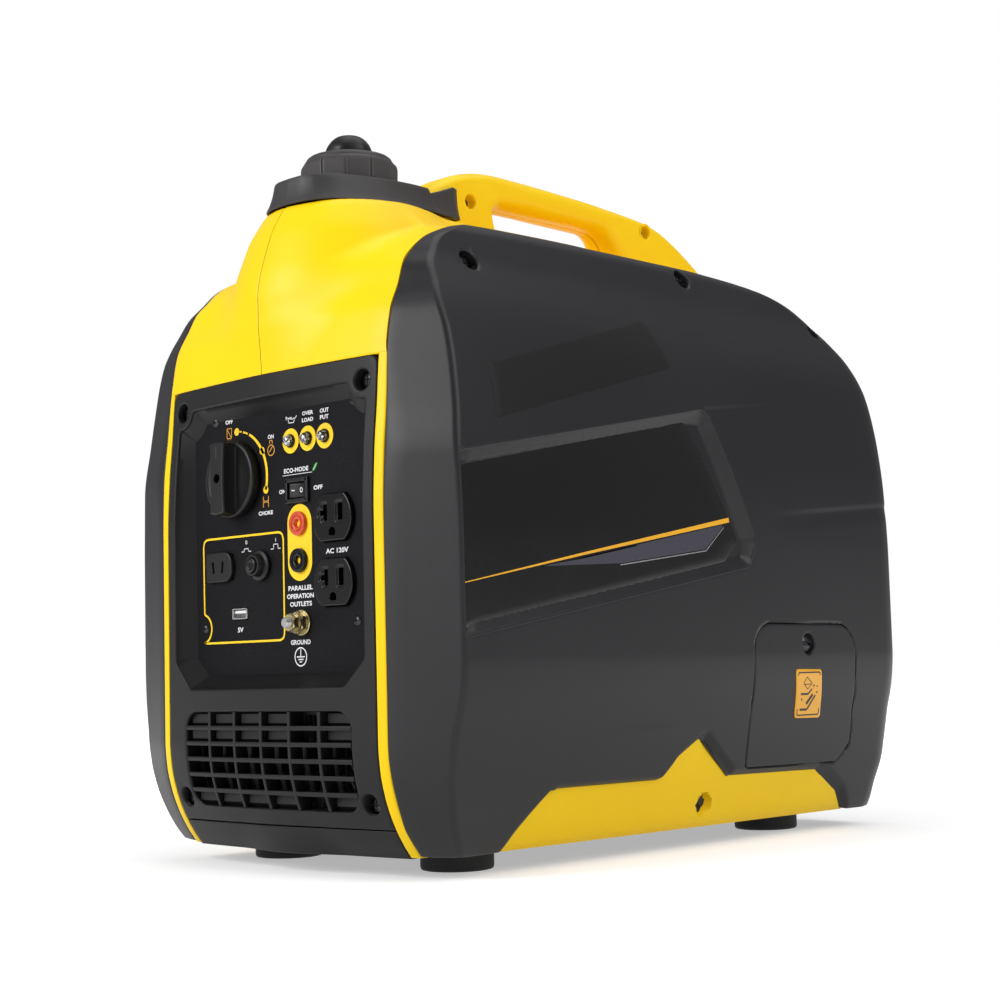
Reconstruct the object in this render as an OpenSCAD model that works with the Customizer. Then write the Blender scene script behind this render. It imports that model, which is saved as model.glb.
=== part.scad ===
// Portable inverter generator: a closed, carried case round a single-cylinder engine.
// +Z is up, the control panel faces -Y, the side with the service cover faces +X.
// The origin is on the ground, under the middle of the case.

/* [Case] */
// Width over the side covers
body_w = 292; // [288:1:298]
// Length from the bezel's crown to the rear cover
body_l = 460; // [454:1:470]
// Height of the deck under the handle
deck_h = 377; // [374:1:381]
// Height of the case's lower edge above the ground
base_z = 12; // [10:0.5:14]
// How far the front tucks back at its foot
front_tuck = 24; // [20:1:27]
// Height over which the front tucks back
tuck_h = 64; // [56:1:70]
// Wall of the side covers, the bezel and the skirt
cover_wall = 2.8; // [2.4:0.1:3.4]
// Wall of the yellow clamshell halves
shell_wall = 2.5; // [2:0.1:3]
// Assembly gap between neighbouring pieces
gap = 0.3; // [0.2:0.05:0.4]

/* [Front] */
// Half width of the bezel
bezel_half = 94.5; // [92:0.5:96]
// Width of the yellow trim strip beside the bezel
trim_w = 7; // [6:0.5:9]
// Height of the bezel's top edge
bezel_top = 289.5; // [287:0.5:292]
// Height of the split line between bezel and skirt
split_z = 27.2; // [25:0.2:29]
// Depth of the control plate behind the bezel's crown
panel_recess = 15.5; // [14:0.5:18]
// Half width of the panel opening
opening_half = 84; // [83:0.5:85]
// Lower edge of the panel opening
opening_low = 106; // [103:1:107]
// Upper edge of the panel opening
opening_high = 275.5; // [274:0.5:276]
// Corner cut of the panel opening
opening_cut = 15.5; // [12:0.5:18]
// Half spacing of the bezel screws
bezel_screw_x = 83; // [82:0.5:84]
// Height of the upper bezel screws
bezel_screw_high = 276; // [275:0.5:277]
// Height of the lower bezel screws
bezel_screw_low = 41.5; // [41:0.5:43]
// Radius of the boss round a bezel screw
boss_r = 10.5; // [9.5:0.5:11]
// Radius of the screw recesses
screw_recess_r = 6; // [5.4:0.2:6.4]

/* [Grille] */
// Half width of the grille
grille_half = 75; // [72:1:76]
// Lower edge of the grille
grille_low = 37; // [36:0.5:38]
// Upper edge of the grille
grille_high = 92.5; // [90:0.5:96]
// Rows of cells
grille_rows = 6; // [4:1:7]
// Columns of cells
grille_columns = 6; // [4:1:7]
// Thickness of the grille's bars
grille_bar = 2.6; // [2:0.2:3.2]

/* [Panel fittings] */
// Engine knob, across
knob_x = -37.6; // [-40:0.2:-36]
// Engine knob, up
knob_z = 231; // [229:0.5:233]
// Radius of the engine knob
knob_r = 23.3; // [21:0.1:24]
// Thickness of the knob's disc
knob_disc = 6.6; // [5:0.2:8]
// Height of the knob's grip bar over the plate
knob_h = 15; // [12:0.5:15.5]
// Radius of the knob's shaft in the switch
knob_shaft_r = 4; // [3:0.5:5]
// First indicator lamp, across
lamp_x = 13.6; // [12:0.2:15]
// Height of the indicator lamps
lamp_z = 249.2; // [248:0.2:251]
// Spacing of the lamps
lamp_pitch = 15.2; // [14.5:0.1:16]
// Radius of a lamp's lens
lamp_r = 3; // [2.5:0.1:3.5]
// Eco rocker, across
rocker_x = 19.8; // [18:0.2:22]
// Eco rocker, up
rocker_z = 219.5; // [218:0.5:221]
// Width of the rocker's frame
rocker_w = 21; // [20:0.5:23]
// Height of the rocker's frame
rocker_h = 15; // [14:0.5:16]
// Parallel jacks, across
jack_x = 20.3; // [19:0.1:22]
// Height of the red jack
jack_red_z = 200.4; // [199:0.2:202]
// Height of the black jack
jack_black_z = 179; // [177:0.2:180]
// Outer radius of a jack
jack_r = 7; // [6:0.1:7.5]
// Bore radius of a jack
jack_bore_r = 2.1; // [2:0.05:2.4]
// Mains outlets, across
outlet_x = 52.3; // [51:0.1:54]
// Height of the upper outlet
outlet_high_z = 201.6; // [201:0.2:204]
// Height of the lower outlet
outlet_low_z = 164.8; // [163:0.2:166]
// Width of an outlet's face
outlet_w = 33.6; // [32:0.2:35]
// Height of an outlet's face
outlet_h = 27.4; // [26:0.2:29]
// Low-voltage socket, across
dc_x = -53; // [-54:0.2:-52]
// Low-voltage socket, up
dc_z = 179; // [177:0.2:181]
// Width of the low-voltage socket
dc_w = 25.6; // [24:0.2:27]
// Height of the low-voltage socket
dc_h = 18.8; // [18:0.2:20]
// Breaker, across
breaker_x = -15; // [-17:0.2:-14]
// Breaker, up
breaker_z = 178; // [176:0.2:180]
// Radius of the breaker's knurled ring
breaker_r = 9; // [8:0.1:10]
// Radius of the breaker's button
button_r = 4.5; // [3.5:0.1:5]
// Travel of the breaker's button
button_travel = 3; // [2:0.2:3.6]
// Data socket, across
usb_x = -35.5; // [-38:0.2:-33]
// Data socket, up
usb_z = 150.4; // [149:0.2:152]
// Ground stud, across
ground_x = 22; // [20:0.2:24]
// Ground stud, up
ground_z = 143; // [141:0.2:145]
// Thread radius of the ground stud
stud_r = 3; // [2.5:0.1:4]

/* [Top] */
// Filler axis behind the middle of the case
filler_y = -153; // [-156:0.5:-150]
// Height of the neck's top above the deck
neck_rise = 16; // [14:0.5:18]
// Radius of the neck at its top
neck_r = 50; // [49:0.2:52]
// Half width of the filler tray
tray_half = 34; // [33:0.5:35]
// Length of the filler tray before the filler's axis
tray_front = 49.5; // [47.5:0.5:51]
// Height of the filler tray's rim above the neck
tray_rise = 18; // [17:0.5:20]
// Radius of the fuel cap
cap_r = 29.8; // [28:0.2:31]
// Height of the fuel cap's top above the tray's rim
cap_rise = 20; // [19:0.5:22]
// Radius of the vent knob
vent_r = 14.3; // [13:0.1:15]
// Height of the vent knob's top above the cap
vent_rise = 14; // [13:0.5:18]
// Radius of the tank's filler neck
filler_r = 21; // [19:0.5:21.5]
// Half width of the handle
handle_half = 16; // [15:0.5:16.5]
// Height of the handle's crown above the deck
handle_rise = 67; // [66:0.5:69]
// Thickness of the handle's grip
grip_t = 24; // [22:0.5:25]

/* [Sides] */
// Depth of the label recess
recess_depth = 4; // [3:0.2:4.4]
// Radius of the starter grip's dish
dish_r = 34; // [32:0.5:36]
// Starter grip, along
grip_y = 105; // [103:0.5:107]
// Starter grip, up
grip_z = 205; // [203:0.5:207]

/* [Feet] */
// Radius of a foot
foot_r = 21.3; // [20:0.1:22]
// Half spacing of the feet across
foot_x = 75.4; // [73:0.2:78]
// Distance of the front feet from the front
foot_front = 83; // [80:0.5:86]
// Distance of the rear feet from the rear
foot_rear = 78.5; // [76:0.5:81]

/* [Engine] */
// Crank axis, along
crank_y = 60; // [57:0.5:62]
// Crank axis, up
crank_z = 150; // [148:0.5:152]
// Radius of the crankshaft's journals
journal_r = 10; // [9:0.5:12]
// Running clearance of shafts in their bores
running = 0.05; // [0.02:0.01:0.09]
// Bore radius of the cylinder
bore_r = 24; // [22:0.5:26]
// Throw of the crank
crank_throw = 19; // [17:0.5:20]
// Outer radius of the flywheel rotor
rotor_r = 62; // [58:0.5:64]
// Radius over the fan's blades
fan_r = 80; // [76:0.5:82]
// Number of fan blades
fan_blades = 14; // [10:1:18]
// Radius of the recoil pulley
pulley_r = 45; // [42:0.5:48]

/* [Hidden] */
$fn = 64;
FLAT = 3;
half_w = body_w / 2;
front_y = -body_l / 2;
rear_y = body_l / 2;
trim_x = bezel_half + trim_w;
neck_h = deck_h + neck_rise;
tray_top = neck_h + tray_rise;
cap_top = tray_top + cap_rise;
vent_top = cap_top + vent_rise;
handle_top = deck_h + handle_rise;
foot_front_y = front_y + foot_front;
foot_rear_y = rear_y - foot_rear;
shell_out = cover_wall + gap;
shell_in = shell_out + shell_wall;
pan_out = shell_in + gap;
pan_wall = 2.5;
pan_floor = base_z + pan_out + 3;
plate_y = front_y + panel_recess;
plate_t = 2;
charcoal = [0.26, 0.255, 0.265];
panel_black = [0.08, 0.075, 0.085];
yellow = [0.98, 0.83, 0.05];
bright = [0.75, 0.76, 0.77];
alloy = [0.62, 0.63, 0.64];

// ---- Outlines. A corner is [across, up, fillet radius]; outlines run anticlockwise.

function heading(p, i, j) = let (v = [p[j].x - p[i].x, p[j].y - p[i].y]) v / norm(v);

function moved_corner(p, i, d) =
    let (n = len(p), a = heading(p, (i + n - 1) % n, i), b = heading(p, i, (i + 1) % n),
        na = [-a.y, a.x], nb = [-b.y, b.x], q = [p[i].x, p[i].y] + d * (na + nb) / (1 + na * nb))
    [q.x, q.y, max(p[i][2] - d, 0.5)];

function inset(p, d) = [for (i = [0 : len(p) - 1]) moved_corner(p, i, d)];

function fillet(p, i, n) =
    let (m = len(p), before = (i + m - 1) % m, after = (i + 1) % m, q = [p[i].x, p[i].y],
        u = -heading(p, before, i), v = heading(p, i, after), half = acos(u * v) / 2,
        room = 0.49 * min(norm(q - [p[before].x, p[before].y]), norm(q - [p[after].x, p[after].y])),
        t = min(p[i][2] / tan(half), room), r = t * tan(half),
        c = q + (u + v) / norm(u + v) * r / sin(half), s = q + u * t - c, a = atan2(s.y, s.x))
    [for (k = [0 : n]) c + r * [cos(a + k / n * (180 - 2 * half)), sin(a + k / n * (180 - 2 * half))]];

function rounded(p, n = FLAT) = [for (i = [0 : len(p) - 1]) each fillet(p, i, n)];

function mirrored(p) = concat(p, [for (i = [len(p) - 1 : -1 : 0]) [-p[i].x, p[i].y, p[i][2]]]);

// The case seen from the front (across, up)
case_front = mirrored([[half_w - 23, base_z, 4], [half_w - 9.5, base_z + 50, 60],
    [half_w, base_z + 106, 90], [half_w, deck_h - 162, 160], [half_w - 9, deck_h - 87, 120],
    [half_w - 29, deck_h - 39, 50], [half_w - 46, deck_h, 14]]);

// Where the side stands at height z, across
function side_x(z) = lookup(z, [for (i = [0 : 5]) [case_front[i].y, case_front[i].x]]);

// The case seen from the right (along, up)
case_side = [[front_y + front_tuck, base_z, 4], [rear_y - 8, base_z, 4], [rear_y, base_z + 48, 40],
    [rear_y, deck_h - 137, 150], [rear_y - 8, deck_h - 47, 40], [rear_y - 40, deck_h - 17, 60],
    [rear_y - 95, deck_h - 6, 120], [40, deck_h, 300], [front_y + 90, deck_h, 80],
    [front_y + 34, deck_h - 23, 40], [front_y, deck_h - 92, 60], [front_y, base_z + 1.2 * tuck_h, 60],
    [front_y + 0.07 * front_tuck, base_z + 0.8 * tuck_h, 60],
    [front_y + 0.4 * front_tuck, base_z + 0.42 * tuck_h, 60]];

// The front corners seen along the diagonal (outward, up)
corner_out = (half_w - front_y) * sqrt(0.5);
case_corner = [[-600, base_z - 20, 1], [corner_out - 10, base_z - 20, 1],
    [corner_out - 10, deck_h - 187, 90], [corner_out - 26.5, deck_h - 91, 120],
    [corner_out - 39, deck_h - 50, 60],
    [corner_out - 57, deck_h - 29, 30], [corner_out - 84, deck_h - 6, 20],
    [corner_out - 110, deck_h + 8, 1], [-600, deck_h + 8, 1]];

// The case seen from above (across, along), with the front's shallow crown
crown_r = 840;
function crown_y(x) = front_y + x * x / (2 * crown_r);
case_plan = concat([for (x = [-trim_x, -68, -34, 0, 34, 68, trim_x]) [x, crown_y(x), 30]],
    [[half_w, front_y + 24, 9], [half_w, rear_y, 30], [-half_w, rear_y, 30],
    [-half_w, front_y + 24, 9]]);

module along_x(outline, x0, x1) {
    translate([x0, 0, 0]) rotate([90, 0, 90]) linear_extrude(x1 - x0) polygon(outline);
}

module along_y(outline, y0, y1) {
    translate([0, y1, 0]) rotate([90, 0, 0]) linear_extrude(y1 - y0) polygon(outline);
}

// The case's outer form, moved in by d
module envelope(d = 0) {
    intersection() {
        along_x(rounded(inset(case_side, d)), -half_w - 1, half_w + 1);
        along_y(rounded(inset(case_front, d)), front_y - 1, rear_y + 1);
        linear_extrude(deck_h + 1) polygon(rounded(inset(case_plan, d), 3));
        rotate(-45) along_y(rounded(inset(case_corner, d)), -600, 600);
        rotate(-135) along_y(rounded(inset(case_corner, d)), -600, 600);
    }
}

module skin(outer, inner) {
    difference() {
        envelope(outer);
        envelope(inner);
    }
}

module block(low, high) {
    translate(low) cube(high - low);
}

module on_panel(x, z, back = 0) {
    translate([x, plate_y + back, z]) rotate([90, 0, 0]) children();
}

module both_sides() {
    children();
    mirror([1, 0, 0]) children();
}

// ---- Outlines on the sides (along, up)

recess_outline = [[front_y + 25, 131.5, 1], [50, 175, 6], [56, 192, 6], [20, 268, 6], [14, 272, 6],
    [front_y + 25, 231, 1]];
cover_outline = [[52, 44, 3], [153, 43, 6], [169, 55, 6], [159.5, 137.5, 18], [49, 138, 20]];
strip_outline = [[front_y + 64, base_z - 1], [rear_y - 58.5, base_z - 1], [rear_y - 67, 25],
    [rear_y - 94.5, 41], [40.5, 42.5], [9, 68], [-12.5, 56], [-27, 44], [-121, 44.5],
    [front_y + 64, base_z + 1]];

side_screw_spots = [[front_y + 71, deck_h - 29], [47, deck_h - 11], [rear_y - 46, deck_h - 32]];
base_screw_y = 18.7;
base_screw_z = base_z + 14;

// ---- Housing

function opening_corners() = [
    [-opening_half + opening_cut, opening_low, 2], [opening_half - opening_cut, opening_low, 2],
    [opening_half, opening_low + opening_cut, 2], [opening_half, opening_high, 3],
    [-opening_half, opening_high, 3], [-opening_half, opening_low + opening_cut, 2]];

// Each row of bezel screws: height, depth of the head's seat, depth of the boss behind it
bezel_screw_rows = [[bezel_screw_low, 19, 24], [bezel_screw_high, 11.5, panel_recess - gap]];

module bezel_spots() {
    for (x = [-bezel_screw_x, bezel_screw_x], row = bezel_screw_rows) {
        $seat = -front_y - row[1];
        $back = -front_y - row[2];
        translate([x, 0, row[0]]) rotate([90, 0, 0]) children();
    }
}

module panel_opening(grow, y1) {
    difference() {
        along_y(rounded(inset(opening_corners(), -grow), 2), front_y - 1, y1);
        bezel_spots() cylinder(r = boss_r - grow, h = 2 * body_l, center = true);
    }
}

grille_depth = 10;

module grille_zone(grow) {
    block([-grille_half - grow, front_y - 1, grille_low - grow],
        [grille_half + grow, front_y + 40, grille_high + grow]);
}

module grille_cells() {
    pitch_x = 2 * grille_half / grille_columns;
    pitch_z = (grille_high - grille_low) / grille_rows;
    intersection() {
        for (i = [0 : grille_columns - 1], k = [0 : grille_rows - 1])
            block([-grille_half + i * pitch_x + grille_bar / 2, front_y - 1,
                    grille_low + k * pitch_z + grille_bar / 2],
                [-grille_half + (i + 1) * pitch_x - grille_bar / 2, front_y + 45,
                    grille_low + (k + 1) * pitch_z - grille_bar / 2]);
        along_y(rounded(inset([[-grille_half, grille_low, 12], [grille_half, grille_low, 12],
            [grille_half, grille_high, 12], [-grille_half, grille_high, 12]], grille_bar / 2), 4),
            front_y - 2, front_y + 46);
    }
}

module front_bezel() {
    color(charcoal) difference() {
        intersection() {
            union() {
                skin(0, cover_wall);
                intersection() {
                    skin(cover_wall / 2, grille_depth);
                    grille_zone(3);
                }
                intersection() {
                    envelope(cover_wall / 2);
                    union() {
                        panel_opening(cover_wall, plate_y - gap);
                        bezel_spots() translate([0, 0, $back]) cylinder(r = boss_r, h = 30);
                    }
                }
            }
            block([-bezel_half + gap, front_y - 1, split_z + gap],
                [bezel_half - gap, front_y + 40, bezel_top]);
        }
        panel_opening(0, plate_y + 1);
        grille_cells();
        bezel_spots() {
            translate([0, 0, $seat]) cylinder(r = screw_recess_r, h = 30);
            translate([0, 0, $back - 1]) cylinder(r = 2.2, h = 30);
        }
    }
}

module bezel_screws() {
    color(bright) bezel_spots() difference() {
        union() {
            translate([0, 0, $seat + 0.1]) cylinder(r = 4.5, h = 2.6);
            translate([0, 0, $back - 6]) cylinder(r = 2, h = $seat - $back + 7);
        }
        translate([0, 0, $seat + 1.4]) cylinder(r = 2.2, h = 3, $fn = 6);
    }
}

module front_skirt() {
    color(charcoal) intersection() {
        skin(0, cover_wall);
        block([-bezel_half + gap, front_y - 1, base_z - 1], [bezel_half - gap, front_y + 44, split_z]);
    }
}

rear_top = bezel_top;
exhaust_x = 36;
exhaust_z = 238;
exhaust_r = 13;

module rear_cover() {
    color(charcoal) difference() {
        intersection() {
            skin(0, cover_wall);
            block([-bezel_half + gap, rear_y - 44, base_z - 1], [bezel_half - gap, rear_y + 1, rear_top]);
        }
        translate([exhaust_x, rear_y, exhaust_z]) rotate([90, 0, 0])
            cylinder(r = exhaust_r + gap, h = 60, center = true);
        for (z = [60 : 14 : 172])
            block([-70, rear_y - 10, z], [70, rear_y + 2, z + 6]);
        for (z = [196 : 14 : 266])
            block([-70, rear_y - 10, z], [8, rear_y + 2, z + 6]);
    }
}

// The yellow halves' neck, from the deck up to the filler tray
neck_flank = mirrored([[90, 285, 1], [90, deck_h - 16, 1], [60, deck_h + 2, 1], [46, neck_h - 7, 1],
    [tray_half + 5, neck_h, 1]]);

module neck_flanks(d, y0, y1) {
    along_y([for (q = inset(neck_flank, d)) [q.x, q.y]], y0, y1);
}

module neck_form(d) {
    intersection() {
        translate([0, filler_y, 0]) rotate_extrude() polygon([[0, 285], [neck_r + 21 - d, 290],
            [neck_r + 23 - d, neck_h - 60], [neck_r + 17 - d, neck_h - 34], [neck_r + 7 - d, neck_h - 9],
            [neck_r + 1 - d, neck_h - d], [0, neck_h - d]]);
        neck_flanks(d, filler_y - 90, filler_y + 90);
    }
}

handle_outline = [[-104, deck_h - 8], [-104, handle_top - 44], [-100, handle_top - 28],
    [-92, handle_top - 20], [-78, handle_top - 13],
    [-60, handle_top - 5], [-42, handle_top - 1], [-18, handle_top], [12, handle_top],
    [70, handle_top - 2], [108, handle_top - 5], [140, handle_top - 12], [162, handle_top - 20],
    [183, handle_top - 32], [198, handle_top - 46], [207, handle_top - 60], [209, deck_h - 38],
    [100, deck_h - 8]];
gap_outline = [[-31, deck_h], [104, deck_h], [80, handle_top - grip_t - 7], [66, handle_top - grip_t],
    [-33, handle_top - grip_t], [-38, handle_top - grip_t - 6]];

module neck_tail(d) {
    intersection() {
        neck_flanks(d, filler_y, -60);
        along_x([[filler_y - 1, 285], [-62 - d, 285], [-62 - d, deck_h + 2 - d], [-80 - d, neck_h - d],
            [filler_y - 1, neck_h - d]], -101, 101);
    }
}

module case_solid() {
    envelope();
    neck_tail(0);
    intersection() {
        neck_form(0);
        block([-half_w, front_y + 0.6, 0], [half_w, rear_y, 500]);
    }
}

module case_core() {
    envelope(shell_in);
    neck_tail(shell_wall);
    intersection() {
        neck_form(shell_wall);
        block([-half_w, front_y + shell_in, 0], [half_w, rear_y, 500]);
    }
}

module handle_form() {
    difference() {
        along_x(handle_outline, -handle_half, handle_half);
        along_x(gap_outline, -handle_half - 1, handle_half + 1);
    }
}

handle_screw_spots = [[-63, handle_top - 28], [117, handle_top - 21]];

// Everything outboard of the yellow trim, where the side covers lie
module cover_zone(g) {
    along_y([[trim_x + g, 0], [trim_x + g, deck_h - 115], [trim_x - 11 + g, deck_h - 4],
        [trim_x - 11 + g, deck_h + 20], [half_w + 5, deck_h + 20], [half_w + 5, 0]],
        front_y - 1, rear_y + 1);
}

module shell_frame() {
    difference() {
        intersection() {
            case_solid();
            union() {
                difference() {
                    block([0, front_y - 1, base_z - 1], [half_w + 1, rear_y + 1, 500]);
                    cover_zone(0);
                }
                along_x(strip_outline, 0, half_w + 2);
            }
        }
        case_core();
    }
}

module shell_inner() {
    intersection() {
        skin(shell_out, shell_in);
        cover_zone(-1);
    }
}

boss_wall = 1.8;

module side_screw_axes() {
    for (s = side_screw_spots) {
        $seat = side_x(s.y) - 8;
        translate([0, s.x, s.y]) rotate([0, 90, 0]) children();
    }
}

module shell_half() {
    color(yellow) difference() {
        union() {
            shell_frame();
            shell_inner();
            difference() {
                handle_form();
                case_core();
            }
            intersection() {
                envelope(shell_out + 1);
                union() {
                    tank_ledge();
                    side_screw_axes() translate([0, 0, $seat - 5])
                        cylinder(r = screw_recess_r + 2 * boss_wall, h = 30);
                }
            }
        }
        // Half seam, front and rear openings, open floor
        block([-half_w, front_y - 1, 0], [gap / 2, rear_y + 1, 500]);
        block([-1, front_y - 1, 0], [bezel_half, front_y + 46, bezel_top + gap]);
        block([-1, rear_y - 46, 0], [bezel_half, rear_y + 1, rear_top + gap]);
        block([-1, front_y + front_tuck + 12, 0], [half_w - 38, rear_y - 22, pan_low + 1]);
        // Filler hole and handle core
        translate([0, filler_y, 300]) cylinder(r = filler_r + 2, h = 120);
        handle_core();
        // Openings behind the side cover
        along_x(rounded(inset(recess_outline, -4)), half_w - 32, half_w + 2);
        along_x(rounded(inset(cover_outline, 7)), half_w - 40, half_w + 2);
        translate([half_w - 20, grip_y, grip_z]) rotate([0, 90, 0]) cylinder(r = dish_r + 1, h = 40);
        side_screw_axes() {
            cylinder(r = 2, h = half_w);
            translate([0, 0, $seat - 2 - gap]) cylinder(r = screw_recess_r + boss_wall + gap, h = 30);
        }
        base_screw_axis() {
            cylinder(r = 2.2, h = 40, center = true);
            cylinder(r = screw_recess_r, h = 20);
        }
        for (s = handle_screw_spots) translate([0, s.x, s.y]) rotate([0, 90, 0]) {
            translate([0, 0, -1]) cylinder(r = 2, h = 40);
            translate([0, 0, handle_half - 4]) cylinder(r = 5, h = 10);
        }
        translate([0, cover_screw_y, cover_screw_z]) rotate([0, 90, 0]) cylinder(r = 4.1, h = half_w + 5);
    }
}

module base_screw_axis() {
    translate([side_x(base_screw_z) - 4, base_screw_y, base_screw_z]) rotate([0, 90, 0]) children();
}

ledge_z = deck_h - 109;
module tank_ledge() {
    block([84, front_y + 34, ledge_z - 4], [half_w, -40, ledge_z]);
}

module handle_core() {
    wall = 3;
    difference() {
        along_x([[-70, handle_top - 20], [-60, handle_top - 5 - wall - 4], [-40, handle_top - 1 - wall],
            [12, handle_top - wall], [70, handle_top - 2 - wall], [108, handle_top - 5 - wall],
            [138, handle_top - 12 - wall - 2], [158, handle_top - 20 - wall - 2],
            [150, handle_top - 46], [100, handle_top - 39], [82, handle_top - grip_t + wall],
            [-5, handle_top - grip_t + wall],
            [-14, handle_top - 34], [-14, handle_top - 52], [-70, handle_top - 52]], -1, handle_half - wall);
        for (s = handle_screw_spots)
            translate([0, s.x, s.y]) rotate([0, 90, 0]) cylinder(r = 6.5, h = 40);
    }
}

module shell_right() {
    shell_half();
}

module shell_left() {
    mirror([1, 0, 0]) shell_half();
}

// One side cover; the right one has the service hatch, the left one the starter's dish
module side_panel(hatch) {
    color(charcoal) difference() {
        intersection() {
            union() {
                skin(0, cover_wall);
                intersection() {
                    skin(cover_wall / 2, recess_depth + cover_wall);
                    along_x(rounded(inset(recess_outline, -3)), half_w - 30, half_w + 2);
                }
                intersection() {
                    envelope(cover_wall / 2);
                    union() {
                        side_screw_axes() translate([0, 0, $seat - 2])
                        cylinder(r = screw_recess_r + boss_wall, h = 30);
                        if (!hatch) dish_axis() translate([0, 0, -3]) cylinder(r = dish_r, h = 30);
                    }
                }
            }
            cover_zone(gap);
        }
        difference() {
            along_x(rounded(recess_outline), half_w - 30, half_w + 2);
            envelope(recess_depth);
            if (!hatch) dish_axis() cylinder(r = dish_r, h = 60, center = true);
        }
        strip_cut();
        if (hatch) along_x(rounded(cover_outline), half_w - 40, half_w + 2);
        if (!hatch) dish_axis() {
            cylinder(r = dish_r - 3, h = 40);
            cylinder(r = 4, h = 40, center = true);
        }
        side_screw_axes() {
            cylinder(r = 2.2, h = half_w + 5);
            translate([0, 0, $seat]) cylinder(r = screw_recess_r, h = 60);
        }
    }
}

dish_depth = 15;

module dish_axis() {
    translate([side_x(grip_z) - dish_depth, grip_y, grip_z]) rotate([0, 90, 0]) children();
}

module strip_cut() {
    along_x([for (p = strip_outline) [p.x, p.y + (p.y > base_z + 2 ? gap : 0)]], 0, half_w + 3);
}

module side_panel_right() {
    side_panel(true);
}

module side_panel_left() {
    mirror([1, 0, 0]) side_panel(false);
}

module side_screws() {
    color(bright) both_sides() {
        side_screw_axes() {
            translate([0, 0, $seat - 10]) cylinder(r = 1.9, h = 11);
            difference() {
                translate([0, 0, $seat + 0.1]) cylinder(r = 4.6, h = 2.6);
                translate([0, 0, $seat + 1.4]) cylinder(r = 2.2, h = 3, $fn = 6);
            }
        }
        base_screw_axis() {
            translate([0, 0, -9]) cylinder(r = 2, h = 10);
            translate([0, 0, 0.1]) cylinder(r = 4.6, h = 2.6);
        }
    }
}

module label_form() {
    color(panel_black) intersection() {
        skin(recess_depth - 1, recess_depth - gap);
        along_x(rounded(inset(recess_outline, 7)), half_w - 30, half_w + 2);
    }
}

module label_plate_right() {
    label_form();
}

module label_plate_left() {
    mirror([1, 0, 0]) label_form();
}

cover_screw_y = 104;
cover_screw_z = 124;

module maintenance_cover() {
    color(charcoal) difference() {
        intersection() {
            skin(0, cover_wall);
            along_x(rounded(inset(cover_outline, 0.5)), half_w - 40, half_w + 2);
        }
        translate([0, cover_screw_y, cover_screw_z]) rotate([0, 90, 0]) {
            cylinder(r = 4.05, h = half_w + 5);
            translate([0, 0, half_w - 1.6]) cylinder(r = 7.6, h = 5);
        }
    }
}

module cover_screw() {
    color(bright) translate([0, cover_screw_y, cover_screw_z]) rotate([0, 90, 0]) difference() {
        union() {
            translate([0, 0, half_w - 1.5]) cylinder(r = 7.2, h = 1.5);
            translate([0, 0, half_w - 12]) cylinder(r = 4, h = 11);
        }
        translate([-1, -8, half_w - 0.9]) cube([2, 16, 3]);
    }
}

module service_plate() {
    color(yellow) intersection() {
        difference() {
            translate([0.9, 0, 0]) envelope();
            translate([0.3, 0, 0]) envelope();
        }
        along_x(rounded([[95, 77, 3], [122, 77, 3], [122, 109, 3], [95, 109, 3]], 3),
            half_w - 20, half_w + 5);
    }
}

// ---- Floor and feet

module foot_spots() {
    for (x = [-foot_x, foot_x], y = [foot_front_y, foot_rear_y]) translate([x, y, 0]) children();
}

pan_low = base_z + pan_out;

module base_pan() {
    color([0.16, 0.16, 0.17]) difference() {
        intersection() {
            envelope(pan_out);
            block([-half_w, front_y, 0], [half_w, rear_y, pan_low + 26]);
            block([-half_w, front_y + 47, 0], [half_w, rear_y - 47, deck_h]);
        }
        intersection() {
            envelope(pan_out + pan_wall);
            block([-half_w, front_y + 50, pan_floor], [half_w, rear_y - 50, deck_h]);
        }
        foot_spots() cylinder(r = 4.2, h = 60);
        both_sides() base_screw_axis() cylinder(r = 2.1, h = 60, center = true);
    }
}

module feet() {
    color([0.07, 0.07, 0.07]) foot_spots() difference() {
        union() {
            cylinder(r1 = foot_r - 1.5, r2 = foot_r, h = 2);
            translate([0, 0, 2]) cylinder(r = foot_r, h = pan_low - 2 - gap / 3);
        }
        translate([0, 0, -1]) cylinder(r = 8, h = 6);
        cylinder(r = 4.2, h = 60);
    }
}

module foot_bolts() {
    color(bright) foot_spots() {
        translate([0, 0, 3]) cylinder(r = 6.5, h = 1.9);
        translate([0, 0, 4]) cylinder(r = 4, h = pan_floor);
        translate([0, 0, pan_floor + 0.1]) cylinder(r = 6.5, h = 5, $fn = 6);
    }
}

// ---- Filler, cap and tank

tray_outline = mirrored([[13, filler_y - tray_front, 40], [tray_half - 7, filler_y - tray_front + 10, 30],
    [tray_half - 1, filler_y - 12, 60], [tray_half, filler_y + 28, 20], [handle_half + 8, filler_y + 50, 14],
    [handle_half + 8, -81, 1]]);

module filler_tray() {
    color(charcoal) difference() {
        union() {
            translate([0, 0, neck_h + gap]) linear_extrude(tray_top - neck_h - gap)
                polygon(rounded(tray_outline));
            translate([0, 0, neck_h + gap]) linear_extrude(4) polygon(rounded(inset(tray_outline, -3)));
            along_x([[-114, neck_h + 4], [-81, neck_h + 4], [-82.5, tray_top + 9], [-88, tray_top + 9],
                [-114, tray_top - 1]], -handle_half - 8, handle_half + 8);
        }
        difference() {
            translate([0, 0, neck_h + 3]) linear_extrude(40) polygon(rounded(inset(tray_outline, 2.5)));
            block([-60, -112, 0], [60, 0, 500]);
        }
        block([-handle_half - gap, -104 - gap, 0], [handle_half + gap, 0, 500]);
        translate([0, filler_y, 0]) cylinder(r = filler_r + 1, h = 500);
    }
}

filler_top = tray_top + 5;

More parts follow.
